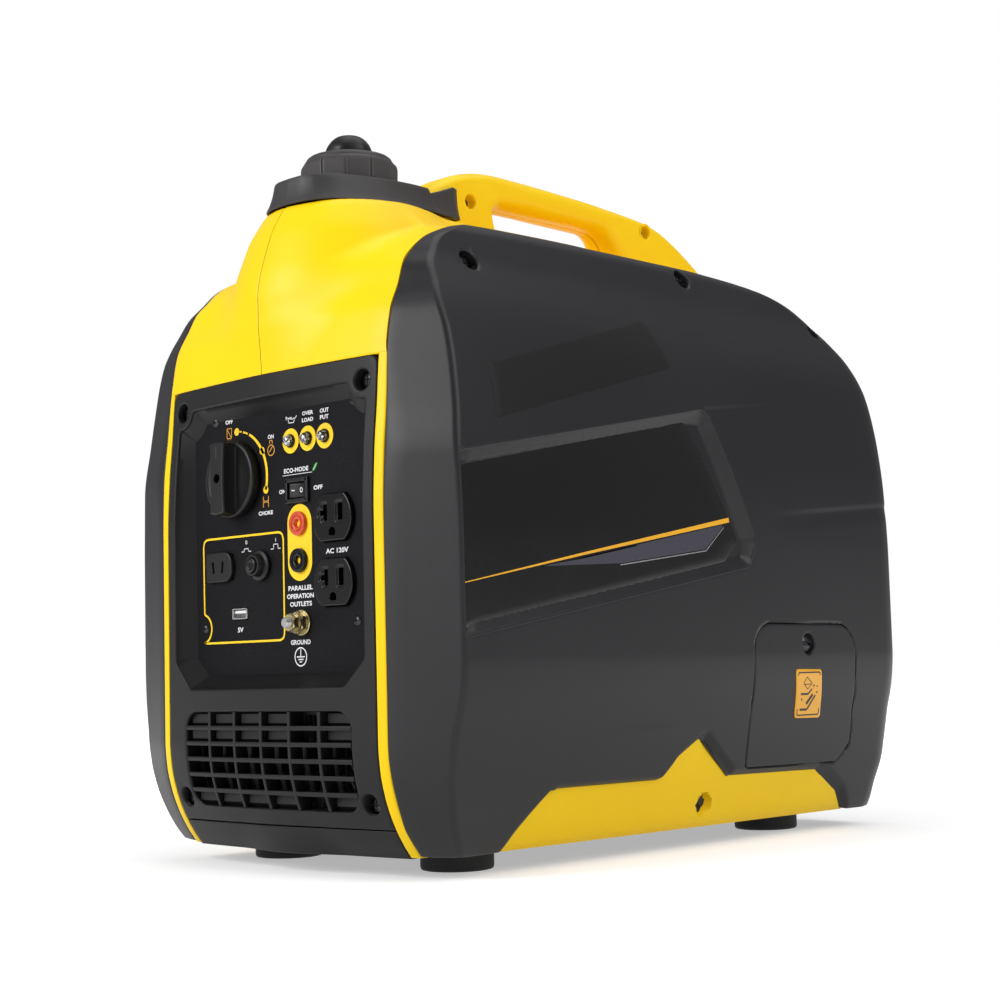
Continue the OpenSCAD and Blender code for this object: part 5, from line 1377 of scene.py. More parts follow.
def groundPost():
    # threaded stud, its radius a cosine of pitch 0.8 along a helix, with two nuts and two washers
    at = spot(*panel["ground"])
    stud, nuts = Shape(), Shape()
    n = 40
    a = np.arange(n) * 2 * np.pi / n
    h = np.linspace(10.0, 13.6, 45)
    r = 2.85 + 0.13 * np.cos(2 * np.pi * (h[:, None] / 0.8 - a[None] / (2 * np.pi)))
    plan = np.stack([r * np.cos(a), r * np.sin(a)], -1)
    rows = np.stack([place(q, np.full(n, v), at, **front) for q, v in zip(plan, h)])
    end = place(plan[-1] * 0.86, np.full(n, 13.95), at, **front)
    stud.grid(np.concatenate([rows, end[None]]), closed=True)
    stud.cap(end)
    turned(stud, [(2.7, 0.1), (2.7, 10.2)], at, front, n=32)
    turned(nuts, [(7.3, 0.1), (7.5, 0.3), (7.5, 1.1), (7.2, 1.4), (3.2, 1.4)], at, front, n=64)
    hexNut(nuts, at, 5.9, 1.5, 5.4)
    turned(nuts, [(5.5, 5.5), (5.7, 5.7), (5.7, 6.4), (5.5, 6.7), (3.0, 6.7)], at, front, n=64)
    hexNut(nuts, at, 4.75, 6.8, 10.6)
    stud.made("groundStud", "platedSteel", sharp=38)
    nuts.made("groundNuts", "brassNuts", sharp=36)


def crossScrew(shape, at, side, r, dome=1.2, n=48):
    # head of height dome (1 - t^3), t = share of the radius, with a cross sunk in it
    ring = circle(1.0, n) * r
    rows = [place(ring, np.full(n, -1.0), at, **side)]
    for t in np.linspace(1, 0, 19)[:-1]:
        u, v = (ring * t).T
        arms = np.maximum(boxDepth(u, v, 0, 0, r * 1.15, r * 0.24, 0.05),
                          boxDepth(u, v, 0, 0, r * 0.24, r * 1.15, 0.05))
        rows.append(place(ring * t, dome * (1 - t ** 3) + 0.3 - 0.9 * ease(arms / 0.35 + 0.4), at, **side))
    shape.grid(np.stack(rows), closed=True)
    shape.cap(rows[-1])


def strokes(shape, line, width, at, reach=0.0):
    # each stretch of a line as a strip printed on the plate, lengthened by reach at both ends
    line = np.array(line, float) + at
    for a, b in zip(line[:-1], line[1:]):
        t = (b - a) / np.hypot(*(b - a)) * reach
        ribbonOn(shape, [a - t, b + t], width, spot(0, 0), front, lift=0.08)


def panelPrint():
    # words, arcs, frames and small pictures printed on the plate
    white, yellow, gold, green = Shape(), Shape(), Shape(), Shape()
    o = spot(0, 0)

    def strip(shape, line, width, lift=0.08, closed=False):
        ribbonOn(shape, line, width, o, front, lift=lift, closed=closed)

    for words, at, tall, wide in (
            ("OFF", (-44.2, 266.8), 2.6, 7.2), ("ON", (-4.6, 253.7), 2.5, 5.4),
            ("CHOKE", (-10.2, 208.9), 2.4, 13.4), ("OVER", (29.4, 264.0), 2.4, 9.8),
            ("LOAD", (29.3, 260.1), 2.4, 10.0), ("OUT", (44.2, 263.8), 2.5, 7.8),
            ("PUT", (44.1, 260.0), 2.5, 7.6), ("ECO-MODE", (18.2, 231.9), 2.7, 22.0),
            ("ON", (5.5, 220.1), 2.5, 6.0), ("OFF", (37.6, 220.0), 2.6, 8.0),
            ("AC 120V", (53.2, 182.8), 2.9, 19.5), ("PARALLEL", (20.6, 163.2), 2.8, 21.8),
            ("OPERATION", (20.3, 158.5), 2.8, 24.0), ("OUTLETS", (20.7, 153.9), 2.8, 19.6),
            ("GROUND", (20.0, 131.9), 2.8, 17.6), ("5V", (-35.5, 140.8), 3.0, 5.4),
            ("O", (-29.0, 192.7), 2.3, 1.9), ("I", (-1.4, 192.3), 2.2, 0.5)):
        lettering(white, words, at, tall, wide, o, front)
    strip(white, [(6.0, 229.3), (32.5, 229.3)], 0.35)
    for x, gap in ((-29.1, 1.0), (-1.4, 1.6)):
        high = gap * 1.7
        steps = [(-4.2, 0), (-2.0, 0), (-2.0, high), (2.0, high), (2.0, 0), (4.2, 0)]
        strokes(white, steps, 0.5, (x, 187.2), reach=0.25)
    x, z = 19.9, 123.5
    ring = circle(1.0, 60)
    strip(white, ring * 5.2 + [x, z], 0.75, closed=True)
    strip(white, [(x, z + 4.4), (x, z)], 0.7)
    for half, dz in ((3.6, 0.0), (2.3, -1.5), (1.1, -2.9)):
        strip(white, [(x - half, z + dz), (x + half, z + dz)], 0.7)
    # oil can: body, spout and handle as strokes
    x, z = 14.5, 261.6
    for line in ([(-3.0, 1.2), (-2.2, -1.8), (2.2, -1.8), (3.2, 0.9), (1.0, 0.2), (-3.0, 1.2)],
                 [(2.8, 0.0), (5.0, 1.9)], [(-3.0, 1.0), (-4.9, 2.2), (-4.4, 0.2)],
                 [(-1.6, 1.3), (0.6, 1.3)], [(-0.5, 1.3), (-0.5, 0.3)]):
        strokes(white, line, 0.5, (x, z))
    kx, kz = panel["knob"]
    dial = 29  # radius of the arcs and dots round the knob
    for angle in (88.6, 31.4, -16.8):
        a = math.radians(angle)
        turned(yellow, [(2.3, 0.02), (2.3, 0.1)], spot(kx + dial * math.cos(a), kz + dial * math.sin(a)),
               front, n=28)
    for low, high, w0, w1 in ((79, 85, 0.8, 0.9), (67, 76.5, 1.0, 1.2), (31.4, 64, 2.1, 1.5),
                              (-16.8, 31.4, 1.9, 2.1)):
        a = np.radians(np.linspace(low, high, 24))
        arc = np.column_stack([kx + dial * np.cos(a), kz + dial * np.sin(a)])
        strip(yellow, arc, np.linspace(w0, w1, 24), lift=0.1)
    a = np.linspace(0, np.pi, 25)
    bow = np.column_stack([10.8 * np.cos(a), 10.8 * np.sin(a)])
    pill = np.vstack([bow + [0, 200.9], [0, 178.0] - bow]) + [panel["jacks"][0], 0]
    raised(yellow, pill, [(0, 0.02), (0, 0.1)], o, **front)
    a = np.radians(np.linspace(78, -78, 12))
    notch = np.column_stack([-72.4 + 8.8 * np.cos(a), 142.4 + 8.8 * np.sin(a)])
    box = np.vstack([notch, [[-71, 134.6], [-68.6, 133.6], [2.0, 133.6], [4.6, 134.7], [5.6, 137.2],
                             [5.6, 192.6], [4.6, 195.6], [1.8, 196.7], [-67.0, 196.7], [-70.0, 195.6],
                             [-71, 192.6]]])
    strip(yellow, softened(box, 0.7, 3), 1.25, lift=0.1, closed=True)
    # small picture marks beside the knob's three places
    bottle = [[(-2.2, -3), (-2.2, 3), (2.2, 3), (2.2, -3), (-2.2, -3)], [(-2.0, 2.6), (1.8, -2.6)],
              [(-1.2, -3), (-1.2, -4)], [(1.2, -3), (1.2, -4)]]
    drop = [[(-1.2, 3), (-1.2, 5), (1.2, 5), (1.2, 3)], [(-1.6, -1.8), (1.7, 1.6)]]
    flap = [[(-2.4, -3.2), (-2.4, 3.4)], [(2.4, -3.2), (2.4, 3.4)], [(-2.4, -0.6), (2.4, 1.0)],
            [(-2.4, 1.0), (2.4, -0.6)]]
    for at, lines in (((-44.2, 259.8), bottle), ((-4.5, 246.4), drop), ((-9.9, 215.4), flap)):
        for line in lines:
            strokes(gold, line, 0.55, at)
    strip(gold, circle(3.1, 40, (-4.5, 245.6)), 0.6, closed=True)
    t = np.linspace(0, 1, 12)
    over = np.column_stack([4.6 * t, 4.4 * t + 1.7 * np.sin(np.pi * t)])
    under = np.column_stack([4.6 * (1 - t), 4.4 * (1 - t) - 1.5 * np.sin(np.pi * t)])
    leaf = np.vstack([over, under[1:-1]])[::-1] + [32.8, 229.9]
    green.sheet(place(leaf, np.full(len(leaf), 0.08), o, **front), hub=np.array([30, 0, 230.0]))
    strip(white, [(33.4, 230.6), (36.6, 233.6)], 0.22, lift=0.12)
    white.made("panelWords", "whiteInk")
    yellow.made("panelYellow", "yellowInk")
    gold.made("panelSymbols", "goldInk")
    green.made("panelLeaf", "greenInk")


fuelKnob()
lampsAndRings()
rocker()
jack("redJack", panel["jacks"][1], "redJack")
jack("blackJack", panel["jacks"][2], "socketBlack")
outlet("outletUpper", panel["outlets"][0])
outlet("outletLower", panel["outlets"][1])
dcSocket()
breaker()
usbSocket()
groundPost()
heads = Shape()
for x, z in panel["screws"]:
    crossScrew(heads, spot(x, z), front, 3.0)
heads.made("panelScrewHeads", "screwBlack", sharp=38)
heads = Shape()
for x, z in frontBezel["screws"]:
    at = onFront(x, z)
    crossScrew(heads, (x, float(at[1]) + 6.0, z), front, 4.9)
heads.made("bezelScrewHeads", "screwBlack", sharp=38)
panelPrint()
print("controls made")


# right side: label plate, sticker, service hatch and its screw and picture plate
labelPlate = {
    "outline": [[-205.2, 134.5, 0.8], [29, 177, 4], [42.5, 190.5, 4], [-1, 263.5, 3.5], [-205.2, 223, 0.8]],
    "depth": 4.2,
    "stripe": [(-201.3, 160.3), (-103.3, 178.6), (34.6, 203.4)],
    "wedge": [(-139.6, 170.4), (-72.4, 173.6), (9.1, 184.2), (27.8, 199.0), (-20, 190.9), (-103.3, 175.9)],
}
hatch = {
    "outline": [[52.6, 47.5, 2.5], [151.5, 46.2, 4], [167.4, 58.0, 6], [163.0, 137.6, 19], [50.6, 138.4, 18]],
    "screw": (110.0, 125.0, 6.6),
    "plate": [[99.6, 77.0, 2.2], [128.6, 76.4, 2.2], [124.0, 108.2, 2.2], [95.0, 108.8, 2.2]],
}


def flatSide(y, z, depth, side=1):
    # side plane that bends only with height: x = sideAt(z) - depth
    return np.stack([side * (sideAt(z) - depth), y + 0 * z, z + 0 * y], -1)


def sidePatch(shape, loop, rows, surface, side=1, rings=8, sink=None):
    # rows of (inset, depth) round a loop on a surface, then rings towards its middle
    out = outward(loop)
    lines = [loop - out * inset for inset, _ in rows]
    depths = [np.full(len(loop), float(depth)) for _, depth in rows]
    centre, last = loop.mean(0), lines[-1]
    for t in np.linspace(1, 0, rings + 1)[1:-1]:
        lines.append(centre + (last - centre) * t)
        depths.append(depths[-1] * 1.0)
    if sink is not None:
        depths = [d + sink(q[:, 0], q[:, 1]) for d, q in zip(depths, lines)]
    g = np.stack([surface(q[:, 0], q[:, 1], d, side) for q, d in zip(lines, depths)])
    shape.grid(g, closed=True, facing=(side, 0, 0))
    shape.cap(g[-1], facing=(side, 0, 0))


def conform(y, z, depth, side=1):
    # the side cover's own surface, sunk by depth
    return onSide(y, z, side=side, depth=depth)


def sideStrip(shape, line, width, depth, surface, side=1):
    # strip of a given width along a line on the side, as two rows
    line = np.asarray(line, float)
    t = np.gradient(line, axis=0)
    t = t / np.hypot(*t.T)[:, None]
    n = np.column_stack([-t[:, 1], t[:, 0]])
    w = np.broadcast_to(np.asarray(width, float), len(line)) / 2
    g = np.stack([surface(*(line + n * (w * k)[:, None]).T, np.full(len(line), depth), side)
                  for k in (-1, 1)])
    shape.grid(g, facing=(side, 0, 0))


def labelPieces(side):
    # gloss plate in its recess, with a stripe that widens to the rear and a wedge under it
    tag = "Right" if side > 0 else "Left"
    plate, stripe, wedge, lines = Shape(), Shape(), Shape(), Shape()
    s = labelPlate
    deep = s["depth"]
    loop = evenly(filleted(s["outline"], 5), 2.0)
    sidePatch(plate, loop, [(-0.3, deep + 1.2), (0, deep + 0.3), (0.25, deep + 0.06), (0.6, deep)], flatSide,
              side)
    pts = np.array(s["stripe"])
    y = np.linspace(pts[0, 0], pts[-1, 0], 40)
    line = np.column_stack([y, np.interp(y, pts[:, 0], pts[:, 1])])
    sideStrip(stripe, line, np.linspace(0.5, 3.0, 40), deep - 0.07, flatSide, side)
    w = evenly(np.array(s["wedge"]), 1.5)
    mid = np.column_stack([w[:, 0], np.interp(w[:, 0], pts[:, 0], pts[:, 1] - 2.0)])
    g = np.stack([flatSide(*q.T, np.full(len(w), deep - 0.05), side) for q in (w, w * 0.5 + mid * 0.5, mid)])
    wedge.grid(g, closed=True, facing=(side, 0, 0))
    edge = np.array([(-72.4, 172.6), (9.6, 183.2), (28.8, 198.6)])
    for a, b in zip(edge[:-1], edge[1:]):
        sideStrip(lines, np.linspace(a, b, 12), 0.6, deep - 0.07, flatSide, side)
    plate.made("labelPlate" + tag, "glossLabel", sharp=40)
    stripe.made("labelStripe" + tag, "orangeInk")
    wedge.made("labelWedge" + tag, "greyInk")
    lines.made("labelLine" + tag, "platedSteel")


labelPieces(1)
labelPieces(-1)
sticker = Shape()
loop = evenly(filleted([[-173.5, 251.5, 1], [-10.5, 296.5, 1], [-19, 327.6, 1], [-174.5, 282.5, 1]], 3), 2.0)
sidePatch(sticker, loop, [(0, 0.1), (0.0, -0.12), (0.2, -0.16)], conform, rings=12)
sticker.made("sidePlate", "sticker", sharp=40)


def hatchPieces():
    # the hatch sunk round its screw and under its plate, the plate with its drawing, and the screw
    cover = Shape()
    sy, sz, sr = hatch["screw"]
    loop = evenly(filleted(hatch["outline"], 8), 1.2)
    plate = evenly(filleted(hatch["plate"], 4), 1.0)

    def sink(y, z):
        hole = 4.0 * (1 - ease((np.hypot(y - sy, z - sz) - sr + 0.5) / 1.2))
        return hole + 0.35 * ease((depthInside(y, z, plate) + 0.4) / 0.5)

    sidePatch(cover, loop, [(0, 3.6), (0.0, 1.1), (0.15, 0.5), (0.5, 0.12), (1.2, 0.0)], conform, rings=56,
              sink=sink)
    screwHole(cover, sy, sz, float(onSide(sy, sz)[0]) - 4.0, r=sr)
    cover.made("maintenanceHatch", "charcoalCover", sharp=40)
    plateShape, ink = Shape(), Shape()
    sidePatch(plateShape, plate, [(0, 0.3), (0.0, -0.25), (0.35, -0.5)], conform, rings=10)
    plateShape.made("picturePlate", "platePictogram", sharp=40)
    centre = plate.mean(0)

    def at(points):  # plate drawing, sheared with the plate
        p = np.asarray(points, float)
        return np.column_stack([centre[0] + p[:, 0] - 0.14 * p[:, 1], centre[1] + p[:, 1]])

    border = at(rounded((-12.2, -13.8), (12.2, 13.8), 1.4, 4))
    sideStrip(ink, np.vstack([border, border[:2]]), 0.9, -0.56, conform)
    for line, wide in (([(-2.7, 11), (3, 6.8), (-2, 3), (-6.4, 6.8), (-2.7, 11)], 0.55),
                       ([(-5.9, 6.2), (2.5, 6.2)], 0.5), ([(-9.5, -0.1), (-1.4, -0.1), (3, 3)], 1.3),
                       ([(-9.5, -10.2), (-1.4, -10.2), (6.9, -1)], 1.5), ([(-2.7, -6.6), (3.8, -0.5)], 2.2),
                       ([(3.8, 4.7), (5.9, 5.7)], 0.8), ([(7.4, 0.5), (9.3, 1.1)], 1.0),
                       ([(-8.5, -2.8), (-7.7, -4.3)], 1.0), ([(8, 4.4), (9.5, 5)], 0.7)):
        line = at(line)
        for a, b in zip(line[:-1], line[1:]):
            sideStrip(ink, np.linspace(a, b, 5), wide, -0.58, conform)
    ink.made("pictureLines", "blackInk")
    # slotted head: a dome with one groove across it
    head = Shape()
    seat = (float(onSide(sy, sz)[0]) - 3.4, sy, sz)
    ring = circle(1.0, 64) * 6.0
    rows = [place(ring, np.full(len(ring), -0.8), seat, **right)]
    for t in np.linspace(1, 0, 27)[:-1]:
        q = ring * t
        groove = ease((1.0 - np.abs(q[:, 1] + 0.12 * q[:, 0])) / 0.45 + 0.3)
        rows.append(place(q, 2.2 * (1 - t ** 2.4) + 0.4 - 1.5 * groove, seat, **right))
    head.grid(np.stack(rows), closed=True)
    head.cap(rows[-1])
    head.made("hatchScrew", "screwBlack", sharp=38)


hatchPieces()
print("labels and hatch made")


# filler collar with its tail, fuel cap and vent knob
collar = {
    "fillerY": -153.0,
    "well": 31.3,
    "low": [(0, -206.3, 393.2), (12, -205.2, 393.2), (21, -202, 393.4), (31.5, -190.5, 394.2),
            (36.8, -172, 395.2), (38.8, -150, 396.2),
            (38.4, -132, 396.6), (37.2, -120, 396.8), (35.6, -110, 397.0), (34.8, -107.6, 397.1),
            (33.4, -102, 397.3), (31, -94, 397.9), (28, -86, 398.8), (24.2, -80.8, 399.6),
            (12, -80.8, 399.8), (0, -80.8, 399.8)],
    "high": [(0, -202, 410.8), (9.5, -201.3, 410.9), (17, -198.6, 411), (25.5, -188.5, 411.3),
             (30.6, -173, 411.8), (33.8, -152, 412.4),
             (34, -134, 412.8), (33.2, -122, 413), (32.2, -115.8, 413.1), (31.9, -114.8, 410.2),
             (30.4, -106, 413), (28.2, -96, 416.6), (26.4, -88.2, 419.8), (24.0, -83.2, 420),
             (12, -83.0, 420), (0, -83.0, 420)],
}


def collarPiece():
    # a wall from the low line to the high line, its rim rounded, with the cap's well and the rising tail
    s = collar
    k = np.arange(len(s["low"]), dtype=float)
    low, high = np.array(s["low"], float), np.array(s["high"], float)
    u = np.concatenate([np.linspace(0, 8, 81)[:-1], np.linspace(8, 9, 6)[:-1], np.linspace(9, 12, 22)[:-1],
                        np.linspace(12, 15, 19)])

    def lift(p):
        curve = np.stack([smoothCurve(k[:9], p[:9, c])(u) for c in range(3)], -1)
        line = np.stack([np.interp(u, k, p[:, c]) for c in range(3)], -1)
        return np.where((u < 8)[:, None], curve, line)

    b, t = lift(low), lift(high)
    level = np.array([0, 0, 1.0])
    middle = np.array([0, s["fillerY"], 0])
    inwards = middle - t
    inwards[:, 2] = 0
    inwards[u > 9, 1] = 0
    inwards = inwards / np.maximum(np.linalg.norm(inwards, axis=1), 1e-6)[:, None]
    r = 1.3
    rows = [b + inwards * 5.0 + level * 0.8, b + inwards * 0.5, b + level * 0.35, b + (t - b) * 0.08]
    rows += [b + (t - b) * f + inwards * 0.9 * math.sin(math.pi * f) for f in np.linspace(0.16, 0.9, 8)]
    rows += [t - level * r * (1 - math.sin(a)) + inwards * r * (1 - math.cos(a))
             for a in np.linspace(0, math.pi / 2, 6)]
    shape = Shape()
    hub = np.array([0, -140.0, 402])
    side = np.stack(rows)
    shape.grid(side, hub=hub)
    shape.grid(side * [-1, 1, 1], hub=hub)
    # rim's top: from the edge in to the cap's well
    top = rows[-1]
    rim = top[u <= 8.0001]
    angle = np.arctan2(rim[:, 0], -(rim[:, 1] - s["fillerY"]))
    angle = angle * math.pi / angle[-1]
    ring = np.column_stack([s["well"] * np.sin(angle), s["fillerY"] - s["well"] * np.cos(angle),
                            rim[:, 2] - 0.5])
    ring[-1, 0] = 0
    shelf = [rim, rim * 0.5 + ring * 0.5 + level * 0.1]
    wellEdge = np.stack(shelf + [ring + level * h for h in (0.2, -0.5, -8.0)])
    shape.grid(wellEdge, facing=level)
    shape.grid(wellEdge * [-1, 1, 1], facing=level)
    # behind the well: the step down and the rising tail
    tail = top[u >= 8]
    cross = np.stack([tail * [f, 1, 1] for f in (1, 0.66, 0.33, 0)])
    shape.grid(cross, facing=level)
    shape.grid(cross * [-1, 1, 1], facing=level)
    gap = np.array([[32.0, -116.0, 412.6], [16, -118.5, 412.7], [0, -121.7, 412.6]])
    fill = np.stack([gap, np.array([[31.9, -115.7, 413.0], [16, -115.7, 413.0], [0, -115.7, 413.0]])])
    shape.grid(fill, facing=level)
    shape.grid(fill * [-1, 1, 1], facing=level)
    shape.made("fillerCollar", "darkTray", sharp=36, weld=0.02)


def capPiece():
    # turned cap with twelve flats, and a groove 0.85 exp(-(off / 0.5)^2) at each corner between them
    shape = Shape()

    def facets(a, r, h):
        half = np.pi / 12
        turn = (a + half) % (2 * half) - half
        flat = r * (np.cos(half) / np.cos(turn)) * 1.018 - r
        off = np.abs(np.abs(turn) - half) * r
        return (flat - 0.85 * np.exp(-(off / 0.5) ** 2)) * (h < 427)

    turned(shape, [(27.6, 399), (28.9, 408), (29.6, 412), (29.8, 423.4), (29.5, 425.2), (28.8, 426.4),
                   (27.9, 427.1), (27.2, 427.5), (26.9, 428.6), (26.3, 429.7), (25.2, 430.6), (23.6, 431.0),
                   (13.2, 431.0), (13.0, 430.6), (12.9, 426)],
           (0, collar["fillerY"], 0), upward, n=288, ripple=facets, closeTop=False)
    shape.made("fuelCap", "charcoalCap", sharp=33)


def knobPiece():
    # turned vent knob with six shallow lobes, a cosine of the angle
    shape = Shape()

    def lobes(a, r, h):
        return 0.22 * np.cos(6 * a) * (432 < h < 438)

    turned(shape, [(12.3, 427), (12.4, 431.3), (12.8, 431.9), (13.9, 432.6), (14.3, 433.6), (14.35, 435.4),
                   (14.0, 437.2), (12.9, 439.6), (11.2, 441.9), (9.4, 443.5), (8.2, 444.3), (7.2, 444.75),
                   (6.0, 444.95), (3, 445.0)],
           (0, collar["fillerY"], 0), upward, n=96, ripple=lobes)
    shape.made("ventKnob", "knobBlack", sharp=35)


def feetPiece():
    # four turned feet, as high as the frame's own
    shape = Shape()
    high = float(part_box("feet")[1][2]) / mm
    for x in (-75.4, 75.4):
        for y in (-147.0, 151.5):
            turned(shape, [(12, 0.6), (19.2, 0.0), (20.4, 0.3), (21.1, 1.1), (21.3, 2.2), (21.3, high - 2.4),
                           (21.0, high - 1.6), (20.2, high - 1.2), (20.0, high), (8, high)],
                   (x, y, 0), upward, n=72, closeTop=False)
    shape.made("rubberFeet", "footRubber", sharp=38)


collarPiece()
capPiece()
knobPiece()
feetPiece()
print("collar, cap and feet made")


# screws of the side covers, base and handle
def sideHeads():
    # heads in the holes of the side covers, of the base strip and of the handle
    heads = Shape()
    for side in (1, -1):
        for centre, axis in screwAxes:
            c = np.array(centre) * [side, 1, 1]
            a = np.array(axis) * [side, 1, 1]
            up = np.array([0, 0, 1.0])
            across = np.cross(up, a)
            across = across / np.linalg.norm(across)
            crossScrew(heads, c - a * 5.6, {"across": across, "up": np.cross(a, across)}, 4.5, dome=1.0)
        way = right if side > 0 else left
        y, z = stripScrew
        crossScrew(heads, (side * (float(onSide(y, z)[0]) - 9.0), y, z), way, 4.5)
        for y, z in handleScrews:
            crossScrew(heads, (side * 9.4, y, z), way, 3.5)
    heads.made("coverScrewHeads", "screwBlack", sharp=38)


sideHeads()


# starter grip in the left dish
def starterGrip():
    # rounded bar with a finger hollow on each half: a Gaussian cut 22 % deep, 13 from the middle
    shape = Shape()
    low, high = (np.array(v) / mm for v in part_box("recoil_grip"))
    dy, dz = sideCover["dish"][:2]
    loop = evenly(rounded((-28, -7), (28, 7), 6.9, 10), 0.8)
    loop[:, 1] *= 1 - 0.22 * np.exp(-((np.abs(loop[:, 0]) - 13) / 6.0) ** 2)
    base, tall = float(high[0]), float(high[0] - low[0])
    profile = [(2.5, 0.8), (1.0, 1.6), (0.3, 2.8), (0, 4.4)] + quarter(2.6, tall - 0.1, 6)[1:]
    raised(shape, loop, profile, (base, dy, dz), **left)
    shape.made("starterGrip", "knobBlack", sharp=38)


starterGrip()
print("screws and starter grip made")


def stageScene():
    # camera from its place and three angles, a floor and a sky that look white to the camera, three lamps
    scene = bpy.context.scene
    scene.view_settings.view_transform = "Standard"
    eye = {"place": (844.2, -899.5, 112.6), "azimuth": 44.02, "pitch": 5.28, "roll": -1.48, "lens": 66.488}
    az, pitch, roll = (math.radians(eye[k]) for k in ("azimuth", "pitch", "roll"))
    ahead = np.array([-math.sin(az) * math.cos(pitch), math.cos(az) * math.cos(pitch), math.sin(pitch)])
    across = np.array([math.cos(az), math.sin(az), 0.0])
    over = np.cross(across, ahead)
    x = across * math.cos(roll) + over * math.sin(roll)
    y = -across * math.sin(roll) + over * math.cos(roll)
    m = np.eye(4)
    m[:3, 0], m[:3, 1], m[:3, 2], m[:3, 3] = x, y, -ahead, np.array(eye["place"]) * mm
    camera = bpy.data.cameras.new("camera")
    camera.lens = eye["lens"]
    camera.clip_start, camera.clip_end = 0.01, 50
    seat = bpy.data.objects.new("camera", camera)
    seat.matrix_world = Matrix(m.tolist())
    scene.collection.objects.link(seat)
    scene.camera = seat

    floor = Look("floor", roughness=0.9)
    path = floor.tree.nodes.new("ShaderNodeLightPath")
    rays = [Wire(floor, path.outputs["Is %s Ray" % kind]) for kind in ("Camera", "Glossy", "Transmission")]
    seen = rays[0].math("MAXIMUM", rays[1]).math("MAXIMUM", rays[2])
    floor.feed(colour=(0.8, 0.8, 0.8))
    far = floor.node("ShaderNodeVectorMath", {"operation": "LENGTH"}, output="Value",
                     in0=floor.place).between(0.3, 1.0)
    glow = floor.node("ShaderNodeEmission", Strength=1.0,
                      Color=floor.blend(far, (0.42, 0.42, 0.42), (1, 1, 1)))
    both = floor.node("ShaderNodeAddShader", in0=Wire(floor, floor.shader.outputs[0]), in1=glow)
    mixed = floor.node("ShaderNodeMixShader", in0=seen, in1=Wire(floor, floor.shader.outputs[0]), in2=both)
    end = next(n for n in floor.tree.nodes if n.type == "OUTPUT_MATERIAL")
    floor.tree.links.new(mixed.socket, end.inputs[0])
    ground = Shape()
    across, along = np.meshgrid(np.linspace(-6000, 6000, 3), np.linspace(-6000, 6000, 3))
    ground.grid(np.stack([across, along, np.zeros((3, 3))], -1))
    finishes["floor"] = floor.material
    plane = ground.made("floor", "floor")
    world = bpy.data.worlds.new("world")
    scene.world = world
    world.use_nodes = True
    tree = world.node_tree
    back = next(n for n in tree.nodes if n.type == "BACKGROUND")
    back.inputs["Color"].default_value = (0.95, 0.96, 1.0, 1)
    back.inputs["Strength"].default_value = 0.30
    bright = tree.nodes.new("ShaderNodeBackground")
    bright.inputs["Color"].default_value = (1, 1, 1, 1)
    bright.inputs["Strength"].default_value = 1.0
    rays = tree.nodes.new("ShaderNodeLightPath")
    mix = tree.nodes.new("ShaderNodeMixShader")
    out = next(n for n in tree.nodes if n.type == "OUTPUT_WORLD")
    top = tree.nodes.new("ShaderNodeMath")
    top.operation = "MAXIMUM"
    for source, target in ((rays.outputs["Is Camera Ray"], top.inputs[0]),
                           (rays.outputs["Is Transmission Ray"], top.inputs[1]),
                           (top.outputs[0], mix.inputs[0]), (back.outputs[0], mix.inputs[1]),
                           (bright.outputs[0], mix.inputs[2]), (mix.outputs[0], out.inputs[0])):
        tree.links.new(source, target)

    def lamp(name, at, aim, size, power, tint=(1, 1, 1)):
        light = bpy.data.lights.new(name, "AREA")
        light.shape = "RECTANGLE"
        light.size, light.size_y = size
        light.energy = power
        light.color = tint
        stand = bpy.data.objects.new(name, light)
        at, aim = np.array(at), np.array(aim)
        z = (at - aim) / np.linalg.norm(at - aim)
        x = np.cross([0, 0, 1.0], z)
        x = x / np.linalg.norm(x)
        turn = np.eye(4)
        turn[:3, 0], turn[:3, 1], turn[:3, 2], turn[:3, 3] = x, np.cross(z, x), z, at
        stand.matrix_world = Matrix(turn.tolist())
        scene.collection.objects.link(stand)

    lamp("keyFront", (-0.7, -2.3, 1.25), (0, -0.1, 0.2), (1.3, 1.3), 46)
    lamp("fillSide", (2.4, 0.3, 1.7), (0.1, 0, 0.2), (1.6, 1.6), 31)
    lamp("topSoft", (0.2, 0.2, 2.4), (0, 0, 0.2), (2.0, 2.0), 22)


stageScene()
print("camera, lamps and floor set")

